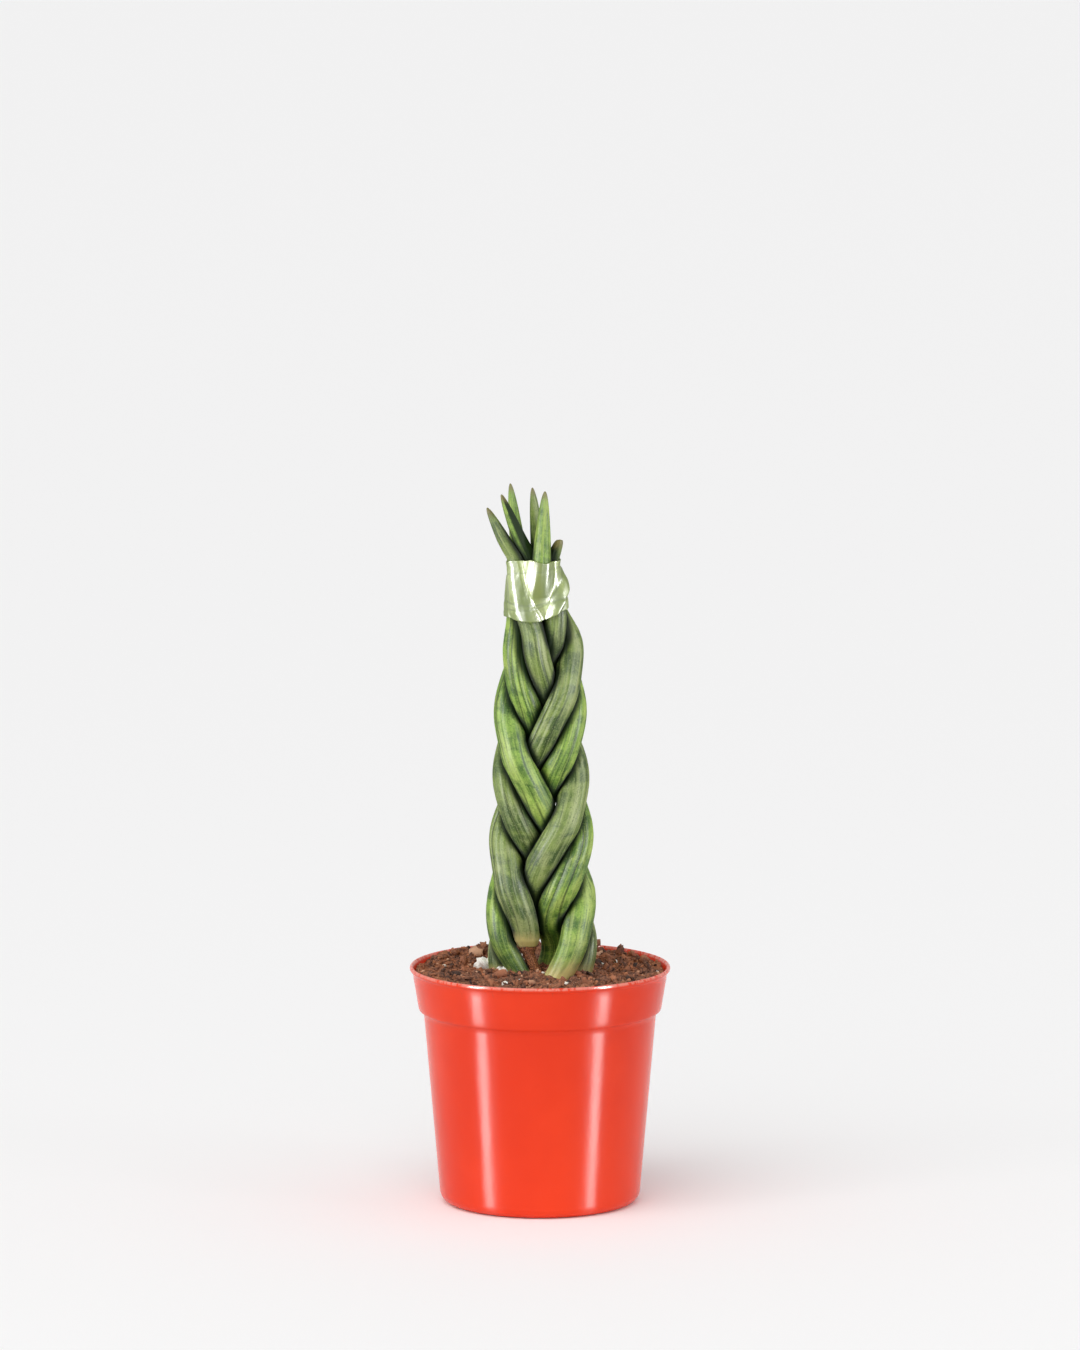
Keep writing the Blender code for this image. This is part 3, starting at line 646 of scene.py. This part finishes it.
def perlite_material():
    """Porous white grains with brown stains."""
    s = Shader("perlite")
    place = s.node("ShaderNodeTexCoord").outputs["Object"]
    pores = s.noise(place, 1500, 3.0, 0.6)
    stain = s.noise(place, 300, 2.0, 0.5)
    colour = s.mix(s.range(pores, 0.30, 0.55), PERLITE_PORE, PERLITE_WHITE)
    s.set(Base_Color=s.mix(s.range(stain, 0.55, 0.75, 0.0, 0.5), colour, PERLITE_STAIN))
    s.set(Roughness=0.8)
    s.set(Normal=s.bump(pores, 0.0004, 0.8))
    return s.material


def tape_material():
    """Shiny yellow-green film: darker where it lies on a leaf, at its edges, and in one band of painted
    shade where a leaf's shaded side shows through.
    """
    s = Shader("tape_film")
    straight = s.attribute("straight", "Vector")
    bridge = s.attribute("bridge")
    layer = s.attribute("layer")
    crinkle = s.noise(s.scaled(straight, (1.0, 1.0, 0.45)), 420, 3.0, 0.6, 0.8)
    cloud = s.noise(s.scaled(straight, (1.0, 1.0, 0.5)), 120, 3.0, 0.55)
    under = s.mix(s.range(cloud, 0.35, 0.65), FILM_DARK, FILM_MIDDLE)
    colour = s.mix(s.range(bridge, 0.0002, 0.0022), under, FILM_BRIDGE)
    colour = s.mix(s.range(cloud, 0.52, 0.68, 0.0, 0.5), colour, FILM_LIGHT)
    apart = s.node("ShaderNodeSeparateXYZ")
    s.link(straight, apart.inputs[0])
    # Painted shade: a dark band down the film where the shaded side of a leaf shows through it
    beside = s.math("ABSOLUTE", s.math("SUBTRACT", apart.outputs[0], 0.0012))
    beside = s.frayed(beside, cloud, 0.004)
    colour = s.mix(s.range(beside, 0.0020, 0.0042, 0.80, 0.0), colour, FILM_SHADE_BAND)
    colour = s.mix(s.range(layer, 0.3, 1.0, 0.0, 0.7), colour, FILM_EDGE)
    s.set(Base_Color=colour)
    s.set(Roughness=0.40)
    s.set(Specular_IOR_Level=0.60)
    s.set(Normal=s.bump(crinkle, 0.00022, 0.16))
    return s.material


# Leaves

def make_leaf(leaf, heights, tracks, material):
    """One leaf's skin, with the values that its material reads at each point."""
    tip = TIPS[leaf, 2]
    wanted = np.append(np.arange(LEAF_FOOT, tip - 0.0008, FINE_RISE), [tip - 0.0008, tip - 0.0003])
    points, slopes = sample_tracks(heights, tracks, wanted)
    thick = leaf_widths(wanted)
    limits = pressed_limits(points, slopes, thick, FINE_GAP)
    turns = np.arange(FINE_SIDES) * 2 * math.pi / FINE_SIDES - LEAF_TWIST * leaf
    flat, groove = level_section(leaf, points, slopes, thick, limits, turns, wanted)
    count = len(wanted)
    body = np.empty((count, FINE_SIDES, 3))
    body[..., :2] = points[leaf][:, None] + flat
    body[..., 2] = wanted[:, None]
    top, _ = sample_tracks(heights, tracks, np.array([tip]))
    ends = np.array([[*top[leaf, 0], tip], [*points[leaf, 0], wanted[0]]])
    everything = np.concatenate([body.reshape(-1, 3), ends])
    faces = ring_faces(count, FINE_SIDES)
    last = (count - 1) * FINE_SIDES
    for side in range(FINE_SIDES):
        after = (side + 1) % FINE_SIDES
        faces.append((last + side, last + after, len(everything) - 2))
        faces.append((after, side, len(everything) - 1))
    piece = mesh_piece(f"leaf_{leaf + 1}_skin", everything, faces, material)
    grown = turns + LEAF_TWIST * leaf
    straight = np.empty((count, FINE_SIDES, 3))
    straight[..., 0] = SKIN_RADIUS * np.cos(grown)[None, :] + SKIN_SPACING * leaf
    straight[..., 1] = SKIN_RADIUS * np.sin(grown)[None, :]
    straight[..., 2] = wanted[:, None]
    tail = [[SKIN_SPACING * leaf, 0, tip], [SKIN_SPACING * leaf, 0, wanted[0]]]
    add_vectors(piece, "straight", np.concatenate([straight.reshape(-1, 3), tail]))
    add_values(piece, "groove", np.append(groove.ravel(), [0, 0]))
    # Painted shade where other leaves press close, for the material to darken the skin
    shade = closeness(leaf, flat, points, thick)
    # Painted shade down this leaf's right front side above the tape, added to the shade between leaves
    if leaf == DARK_SIDE_LEAF:
        facing = flat @ np.array(DARK_SIDE_WAY) / (0.5 * thick[leaf][:, None])
        dark_side = np.clip((facing - 0.35) / 0.25, 0.0, 1.0)
        shade = np.maximum(shade, DARK_SIDE_SHADE * dark_side * (wanted > TAPE_HIGH - TAPE_COVER)[:, None])
    add_values(piece, "painted_shade", np.append(shade.ravel(), [0, 1]))
    far = np.repeat(tip - wanted, FINE_SIDES)
    add_values(piece, "tip_distance", np.append(far, [0, 1]))
    shrunk = np.interp(wanted, SHRUNK_SPAN, (1.0, 0.0)) * (leaf == WITHERED)
    add_values(piece, "withered", np.append(np.repeat(shrunk, FINE_SIDES), [0, 0]))
    pale = np.interp(wanted, FOOT_FADE[leaf], (1.0, 0.0))
    add_values(piece, "foot", np.append(np.repeat(pale, FINE_SIDES), [0, 1]))
    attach(piece, "root")
    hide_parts(f"leaf_{leaf + 1}")


# Pot

def pot_profile():
    """Closed outline of the wall, down the outside, across the base and up the inside."""
    collar_low = POT_HEIGHT - COLLAR_HEIGHT
    body_top = collar_low - STEP_DOWN
    slant = (BODY_TOP_RADIUS - BASE_RADIUS) / body_top
    outer = []
    for part in range(7):
        angle = math.radians(90 - 180 * part / 6)
        outer.append((RIM_RADIUS - 0.0009 + 0.0009 * math.cos(angle),
                      POT_HEIGHT - 0.0011 + 0.0011 * math.sin(angle)))
    outer += [
        (RIM_RADIUS - 0.0012, POT_HEIGHT - 0.0027),
        (RIM_RADIUS - 0.0016, POT_HEIGHT - 0.0036),
        (RIM_RADIUS - 0.0018, POT_HEIGHT - 0.0060),
        (COLLAR_LOW_RADIUS + 0.0003, collar_low + 0.0030),
        (COLLAR_LOW_RADIUS, collar_low + 0.0012),
        (COLLAR_LOW_RADIUS - 0.0003, collar_low + 0.0004),
        (COLLAR_LOW_RADIUS - 0.0009, collar_low),
        (BODY_TOP_RADIUS + 0.0010, collar_low - 0.0004),
        (BODY_TOP_RADIUS + 0.0003, collar_low - 0.0012),
        (BODY_TOP_RADIUS, body_top),
        (0.5 * (BODY_TOP_RADIUS + BASE_RADIUS), 0.5 * body_top),
    ]
    for part in range(9):
        angle = math.radians(90 * part / 8)
        side = BASE_RADIUS + slant * BASE_FILLET
        across = side - BASE_FILLET + BASE_FILLET * math.cos(angle)
        outer.append((across, BASE_FILLET * (1 - math.sin(angle))))
    inner = [
        (0.0, 0.0),
        (0.0, WALL),
        (BASE_RADIUS - BASE_FILLET, WALL),
        (BASE_RADIUS - 0.0026, 0.0030),
        (BASE_RADIUS - WALL + slant * BASE_FILLET, BASE_FILLET + 0.001),
        (BODY_TOP_RADIUS - WALL, body_top),
        (BODY_TOP_RADIUS - WALL + 0.0006, collar_low - 0.0002),
        (COLLAR_LOW_RADIUS - WALL - 0.0004, collar_low + 0.0016),
        (RIM_RADIUS - WALL - 0.0016, POT_HEIGHT - 0.0045),
        (RIM_RADIUS - RIM_BEAD - 0.0006, POT_HEIGHT - 0.0016),
        (RIM_RADIUS - RIM_BEAD - 0.0002, POT_HEIGHT - 0.0004),
    ]
    return outer + inner


def make_pot(material):
    """The turned wall and base, with drain holes cut through the base."""
    mesh = bpy.data.meshes.new("pot_shell")
    points = [(radius, 0.0, height) for radius, height in pot_profile()]
    edges = [(index, (index + 1) % len(points)) for index in range(len(points))]
    edges = [edge for edge in edges if not (points[edge[0]][0] == 0 and points[edge[1]][0] == 0)]
    mesh.from_pydata(points, edges, [])
    mesh.materials.append(material)
    pot = bpy.data.objects.new("pot_shell", mesh)
    bpy.context.scene.collection.objects.link(pot)
    screw = pot.modifiers.new("turned", "SCREW")
    screw.steps = POT_SIDES
    screw.render_steps = POT_SIDES
    screw.use_merge_vertices = True
    screw.merge_threshold = 0.00005
    screw.use_smooth_shade = True
    holes = bmesh.new()
    for index in range(DRAIN_HOLES):
        angle = 2 * math.pi * (index + 0.5) / DRAIN_HOLES
        place = Matrix.Translation((DRAIN_RING * math.cos(angle), DRAIN_RING * math.sin(angle), 0.0))
        bmesh.ops.create_cone(holes, cap_ends=True, segments=32, radius1=DRAIN_RADIUS,
                              radius2=DRAIN_RADIUS, depth=6 * WALL, matrix=place)
    cutter_mesh = bpy.data.meshes.new("drain_cutter")
    holes.to_mesh(cutter_mesh)
    holes.free()
    cutter = bpy.data.objects.new("drain_cutter", cutter_mesh)
    bpy.context.scene.collection.objects.link(cutter)
    cut = pot.modifiers.new("drains", "BOOLEAN")
    cut.operation = "DIFFERENCE"
    cut.object = cutter
    graph = bpy.context.evaluated_depsgraph_get()
    shaped = bpy.data.meshes.new_from_object(pot.evaluated_get(graph))
    pot.modifiers.clear()
    pot.data = shaped
    shaped.set_sharp_from_angle(angle=math.radians(50))
    bpy.data.objects.remove(cutter, do_unlink=True)
    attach(pot, "root")
    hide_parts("pot")


# Soil

def soil_height(x, y):
    """Lumpy top of the soil: lower at the front right, raised round the leaves."""
    across = math.hypot(x, y)
    level = SOIL_LEVEL + SOIL_FALL * (y - 0.6 * x) / 0.055
    level += SOIL_MOUND * math.exp(-(across / 0.026) ** 2)
    lumps = math.sin(410 * x + 1.3) * math.sin(385 * y + 0.4) + 0.6 * math.sin(690 * x - 520 * y + 2.0)
    lumps += 0.5 * math.sin(900 * y + 610 * x)
    return level + SOIL_LUMP * lumps / 1.6


def rough_height(x, y):
    """The soil's height with its crumbly fine relief, banked up towards the rim at the back."""
    spot = Vector((x, y, 0.0))
    relief = CRUMB_RELIEF * noise.noise(spot * 260) + GRIT_RELIEF * noise.noise(spot * 700)
    across = math.hypot(x, y)
    outwards = min(1.0, max(0.0, (across - 0.036) / 0.018))
    backwards = min(1.0, max(0.0, 0.5 + (y + 0.7 * x) / 0.05))
    banked = SOIL_BANK * outwards * backwards
    return min(soil_height(x, y) + relief + banked, POT_HEIGHT + 0.0006)


def inside_radius(height):
    """Inner radius of the pot's wall at a height."""
    outline = pot_profile()[-9:]
    return float(np.interp(height, [z for _, z in outline], [r for r, _ in outline]))


def make_soil(material):
    """The crumbly top, from the middle to the wall, and the plain sides and base under it."""
    points = []
    for ring in range(1, SOIL_RINGS + 1):
        for side in range(SOIL_SIDES):
            angle = 2 * math.pi * side / SOIL_SIDES
            full = inside_radius(soil_height(0.056 * math.cos(angle), 0.056 * math.sin(angle))) - SOIL_FIT
            radius = full * ring / SOIL_RINGS
            x = radius * math.cos(angle)
            y = radius * math.sin(angle)
            points.append((x, y, rough_height(x, y)))
    below = [(inside_radius(height) - SOIL_FIT, height) for height in SOIL_SIDE_HEIGHTS]
    below.append((BASE_RADIUS - BASE_FILLET - 0.001, SOIL_BASE))
    for radius, height in below:
        for side in range(SOIL_SIDES):
            angle = 2 * math.pi * side / SOIL_SIDES
            points.append((radius * math.cos(angle), radius * math.sin(angle), height))
    rows = len(points) // SOIL_SIDES
    faces = [face[::-1] for face in ring_faces(rows, SOIL_SIDES)]
    points.append((0.0, 0.0, rough_height(0.0, 0.0)))
    points.append((0.0, 0.0, SOIL_BASE))
    last = (rows - 1) * SOIL_SIDES
    for side in range(SOIL_SIDES):
        after = (side + 1) % SOIL_SIDES
        faces.append((side, after, len(points) - 2))
        faces.append((last + after, last + side, len(points) - 1))
    soil = mesh_piece("soil_bed", points, faces, material)
    add_values(soil, "tone", [0.45] * len(points))
    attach(soil, "root")
    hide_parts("soil")


def blob(subdivisions):
    """Points and faces of a small ball."""
    shape = bmesh.new()
    bmesh.ops.create_icosphere(shape, subdivisions=subdivisions, radius=1.0)
    points = np.array([vert.co[:] for vert in shape.verts])
    faces = np.array([[vert.index for vert in face.verts] for face in shape.faces])
    shape.free()
    return points, faces


def scatter(name, material, spots, draw, subdivisions, rough, flat):
    """Many small irregular grains in one mesh, each pressed into the soil."""
    base, faces = blob(subdivisions)
    all_points = []
    all_faces = []
    tones = []
    for number, (x, y, size) in enumerate(spots):
        angle = draw.uniform(0, 6.28)
        axis = Vector((draw.uniform(-1, 1), draw.uniform(-1, 1), draw.uniform(0.2, 1)))
        turn = np.array(Matrix.Rotation(angle, 3, axis))
        stretch = np.array([1.0, draw.uniform(0.55, 0.9), draw.uniform(flat, flat + 0.25)]) * size
        spots_on = [Vector(point) * 1.7 + Vector((number, 0, 0)) for point in base]
        bumps = np.array([1.0 + rough * noise.noise(spot) for spot in spots_on])
        shape = (base * bumps[:, None] * stretch) @ turn.T
        tilt = np.array(Matrix.Rotation(draw.uniform(-0.7, 0.7), 3, "X"))
        shape = shape @ tilt.T + np.array([x, y, rough_height(x, y) + 0.25 * size])
        all_faces.append(faces + len(base) * number)
        all_points.append(shape)
        tones.extend([draw.random()] * len(base))
    piece = mesh_piece(name, np.concatenate(all_points), np.concatenate(all_faces).tolist(), material,
                       smooth=subdivisions > 1)
    add_values(piece, "tone", tones)
    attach(piece, "root")


def clear_of_leaves(x, y, size, feet, widths):
    """A rough test, by a grain's middle, that it lies beside the leaves at the soil's level."""
    return all(math.hypot(x - fx, y - fy) > 0.5 * width + 0.55 * size
               for (fx, fy), width in zip(feet, widths))


def soil_spots(count, sizes, draw, feet, widths, margin):
    """Random places and sizes of grains, most of them small, between the leaves and the wall."""
    small, large = sizes
    spots = []
    while len(spots) < count:
        angle = draw.uniform(0, 2 * math.pi)
        radius = 0.0565 * math.sqrt(draw.random())
        size = small + (large - small) * draw.random() ** 2.2
        x = radius * math.cos(angle)
        y = radius * math.sin(angle)
        if radius < 0.0572 - margin - size and clear_of_leaves(x, y, size, feet, widths):
            spots.append((x, y, size))
    return spots


def make_grains(heights, tracks, material, white):
    """Crumbs, bark bits and perlite on the soil; the placed stones lie against two leaves."""
    draw = random.Random(11)
    level = np.array([SOIL_LEVEL])
    points, _ = sample_tracks(heights, tracks, level)
    feet = points[:, 0]
    widths = leaf_widths(level)[:, 0]
    fine = soil_spots(GRAINS, GRAIN_SIZES, draw, feet, widths, 0.0002)
    scatter("soil_crumbs", material, fine, draw, 1, 0.5, 0.4)
    coarse = soil_spots(BARK_BITS, BARK_SIZES, draw, feet, widths, 0.0004)
    scatter("bark_bits", material, coarse, draw, 2, 0.9, 0.3)
    scatter("perlite_stones", white, PERLITE_STONES, draw, 3, 0.9, 0.70)
    pale = soil_spots(PERLITE, PERLITE_SIZES, draw, feet, widths, 0.0006)
    scatter("perlite_grains", white, pale, draw, 3, 0.9, 0.5)


# Tape

def hull_of(points):
    """Convex outline of flat points, anticlockwise."""
    points = sorted(map(tuple, points))

    def half(sequence):
        chain = []
        for point in sequence:
            while len(chain) > 1:
                (ax, ay), (bx, by) = chain[-2], chain[-1]
                if (bx - ax) * (point[1] - ay) - (by - ay) * (point[0] - ax) > 0:
                    break
                chain.pop()
            chain.append(point)
        return chain

    lower = half(points)
    upper = half(points[::-1])
    return np.array(lower[:-1] + upper[:-1])


def hull_reach(hull, centre, turns):
    """Distance from the centre to the hull in each direction."""
    after = np.roll(hull, -1, axis=0)
    edge = after - hull
    normal = np.stack([edge[:, 1], -edge[:, 0]], axis=-1)
    normal = normal / np.maximum(np.linalg.norm(normal, axis=-1, keepdims=True), 1e-12)
    offset = ((hull - centre) * normal).sum(-1)
    ways = np.stack([np.cos(turns), np.sin(turns)], axis=0)
    facing = normal @ ways
    away = np.where(facing > 1e-6, offset[:, None] / np.maximum(facing, 1e-6), 1.0)
    return away.min(axis=0)


def tape_height(turns, share):
    """Height on the tape; its lower edge rises on the right, and both edges waver."""
    low = TAPE_LOW + TAPE_RISE * np.maximum(0.0, np.cos(turns)) ** 1.5
    waver = 0.0005 * np.sin(3 * turns + 1) * (2 * share - 1) + 0.0003 * np.sin(7 * turns) * share
    return low + (TAPE_HIGH - low) * share + waver


def tape_relief(turns, share):
    """Steps of the film's layers with the fold, and how near each place is to an edge."""
    rise = turns / (2 * math.pi)
    layers = np.zeros_like(turns)
    edges = np.zeros_like(turns)
    for start, slope, step in FILM_LAYERS:
        beyond = (share - start - slope * rise) * 26
        layers = layers + step / (1 + np.exp(np.clip(4 * beyond, -30, 30)))
        edges = np.maximum(edges, np.exp(-(beyond - 0.8) ** 2 / 0.5) * (step / 0.0003))
    climb = np.where(turns < 2.0, turns + 2 * math.pi, turns)
    line = 0.04 + 0.55 * (climb - 5.25)
    ends = np.clip((climb - 4.75) / 0.6, 0, 1) * np.clip((7.6 - climb) / 0.8, 0, 1)
    across = (share - line) / 0.13
    fold = FOLD_RISE * ends * np.clip(1.25 * np.exp(-across ** 4) * (1 - 0.35 * across), 0, 2)
    edges = np.maximum(edges, ends * np.exp(-(across - 1.25) ** 2 / 0.05))
    edges = np.maximum(edges, 0.8 * ends * np.exp(-(across + 1.30) ** 2 / 0.05))
    return layers + fold, edges


def tape_pleats(turn, height):
    """Slanting creases where the film is pulled tight."""
    along = 0.014 * turn
    slant = 0.55 * along + (height - TAPE_LOW)
    across = along - 0.55 * (height - TAPE_LOW)
    first = noise.noise(Vector((across * 130, slant * 30, 0.0)))
    return PLEAT_RISE * (1 - 2.2 * math.sqrt(first ** 2 + 0.012))


def make_tape(heights, tracks, material):
    """The wound film: a closed sleeve pulled tight over the outermost leaves."""
    levels = np.linspace(TAPE_LOW - 0.0012, TAPE_HIGH + 0.0012, 40)
    points, slopes = sample_tracks(heights, tracks, levels)
    thick = leaf_widths(levels)
    limits = pressed_limits(points, slopes, thick, FINE_GAP)
    fine = np.linspace(0, 2 * math.pi, 72, endpoint=False)
    turns = np.arange(TAPE_SIDES) * 2 * math.pi / TAPE_SIDES
    flats = [level_section(leaf, points, slopes, thick, limits, fine, levels)[0] for leaf in range(6)]
    centres = points.mean(axis=0)
    reach = []
    bridge = []
    for level in range(len(levels)):
        outline = np.concatenate([points[leaf, level] + flats[leaf][level] for leaf in range(6)])
        hull = hull_reach(hull_of(outline), centres[level], turns)
        offset = outline - centres[level]
        size = np.linalg.norm(offset, axis=-1)
        lean = np.arctan2(offset[:, 1], offset[:, 0])
        near = np.cos(lean[None, :] - turns[:, None]) > math.cos(0.07)
        solid = np.where(near, size[None, :], 0.0).max(axis=1)
        reach.append(hull)
        bridge.append(np.clip(hull - solid, 0, 0.004))
    reach = np.array(reach)
    bridge = np.array(bridge)
    outer = []
    inner = []
    marks = []
    gaps = []
    straight = []
    for row in range(TAPE_RINGS):
        share = row / (TAPE_RINGS - 1)
        high = tape_height(turns, share)
        middle = np.column_stack([np.interp(high, levels, centres[:, axis]) for axis in (0, 1)])
        place = (high - levels[0]) / (levels[1] - levels[0])
        cell = np.clip(place.astype(int), 0, len(levels) - 2)
        part = place - cell
        side = np.arange(TAPE_SIDES)
        near = (1 - part) * reach[cell, side] + part * reach[cell + 1, side]
        gap = (1 - part) * bridge[cell, side] + part * bridge[cell + 1, side]
        relief, edges = tape_relief(turns, share)
        pleats = np.array([tape_pleats(turn, z) for turn, z in zip(turns, high)])
        seam = np.clip(np.minimum(turns, 2 * math.pi - turns) / 0.25, 0, 1)
        inside = near + FILM_THICKNESS - 0.35 * gap
        outside = inside + FILM_THICKNESS + relief + seam * np.clip(pleats, 0, 1)
        lift = min(share, 1 - share) < 0.004
        outside = outside - 0.00015 * lift
        for radius, rows in ((outside, outer), (inside, inner)):
            x = middle[:, 0] + radius * np.cos(turns)
            y = middle[:, 1] + radius * np.sin(turns)
            rows.append(np.column_stack([x, y, high]))
        marks.append(edges)
        gaps.append(gap)
        straight.append(np.column_stack([FILM_RADIUS * np.cos(turns), FILM_RADIUS * np.sin(turns), high]))
    rows = outer + inner[::-1]
    faces = ring_faces(len(rows), TAPE_SIDES, closed=True)
    tape = mesh_piece("tape_wrap", np.concatenate(rows), faces, material)
    tape.data.set_sharp_from_angle(angle=math.radians(70))
    add_vectors(tape, "straight", np.concatenate(straight + straight[::-1]))
    add_values(tape, "layer", np.concatenate(marks + marks[::-1]))
    add_values(tape, "bridge", np.concatenate(gaps + gaps[::-1]))
    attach(tape, "root")
    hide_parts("tape")


# Stage

def make_stage():
    """A plain pale floor."""
    s = Shader("paper_floor")
    s.set(Base_Color=(*PAPER, 1.0))
    s.set(Roughness=0.8)
    s.set(Specular_IOR_Level=0.15)
    reach = FLOOR_REACH
    corners = [(-reach, -reach, 0), (reach, -reach, 0), (reach, reach, 0), (-reach, reach, 0)]
    floor = mesh_piece("floor", corners, [(0, 1, 2, 3)], s.material)


def strip_light(name, place, target):
    """A tall narrow light that shows in glossy reflections and adds no diffuse light."""
    data = bpy.data.lights.new(name, "AREA")
    data.shape = "RECTANGLE"
    data.size = STRIP_WIDTH
    data.size_y = STRIP_LENGTH
    data.energy = STRIP_POWER
    light = bpy.data.objects.new(name, data)
    bpy.context.scene.collection.objects.link(light)
    light.location = place
    light.rotation_euler = (Vector(target) - Vector(place)).to_track_quat("-Z", "Y").to_euler()
    light.visible_diffuse = False


def make_lights():
    """An even white surround, one very soft light from the left front and a strip each side."""
    world = bpy.data.worlds.new("studio")
    world.use_nodes = True
    background = world.node_tree.nodes["Background"]
    background.inputs["Color"].default_value = (*STUDIO_WHITE, 1.0)
    background.inputs["Strength"].default_value = WORLD_STRENGTH
    bpy.context.scene.world = world
    data = bpy.data.lights.new("sky_panel", "SUN")
    data.energy = SUN_STRENGTH
    data.angle = math.radians(SUN_WIDTH)
    sun = bpy.data.objects.new("sky_panel", data)
    bpy.context.scene.collection.objects.link(sun)
    sun.rotation_euler = Vector(SUN_WAY).to_track_quat("-Z", "Y").to_euler()
    for side in (-1, 1):
        angle = math.radians(STRIP_ANGLE * side)
        place = (STRIP_DISTANCE * math.sin(angle), -STRIP_DISTANCE * math.cos(angle), STRIP_HEIGHT)
        name = "strip_left" if side < 0 else "strip_right"
        strip_light(name, place, (0, 0, STRIP_AIM))


def make_camera():
    """Seen from far off and a little above, as the photograph is."""
    data = bpy.data.cameras.new("camera")
    data.sensor_fit = "VERTICAL"
    data.sensor_height = SENSOR
    data.lens = SENSOR * CAMERA_DISTANCE / (IMAGE_HEIGHT * METRES_A_PIXEL)
    data.clip_end = 100
    camera = bpy.data.objects.new("camera", data)
    bpy.context.scene.collection.objects.link(camera)
    pitch = math.radians(CAMERA_PITCH)
    rise = CAMERA_DISTANCE * math.sin(pitch)
    camera.location = (0.0, -CAMERA_DISTANCE * math.cos(pitch), AIM_HEIGHT + rise)
    aim = Vector((0.0, 0.0, AIM_HEIGHT)) - camera.location
    camera.rotation_euler = aim.to_track_quat("-Z", "Y").to_euler()
    bpy.context.scene.camera = camera


def main():
    make_camera()
    heights, tracks = leaf_tracks()
    bright = leaf_material("leaf_bright", GREEN_DARK, GREEN_MIDDLE, GREEN_LIGHT, DRY_TIP)
    olive = leaf_material("leaf_olive", OLIVE_DARK, OLIVE_MIDDLE, OLIVE_LIGHT, DRY_TIP)
    for leaf in range(6):
        make_leaf(leaf, heights, tracks, olive if leaf in OLIVE_LEAVES else bright)
    make_pot(pot_material())
    mix = soil_material()
    make_soil(mix)
    make_grains(heights, tracks, mix, perlite_material())
    make_tape(heights, tracks, tape_material())
    make_stage()
    make_lights()
    bpy.context.scene.view_settings.view_transform = "Standard"


main()
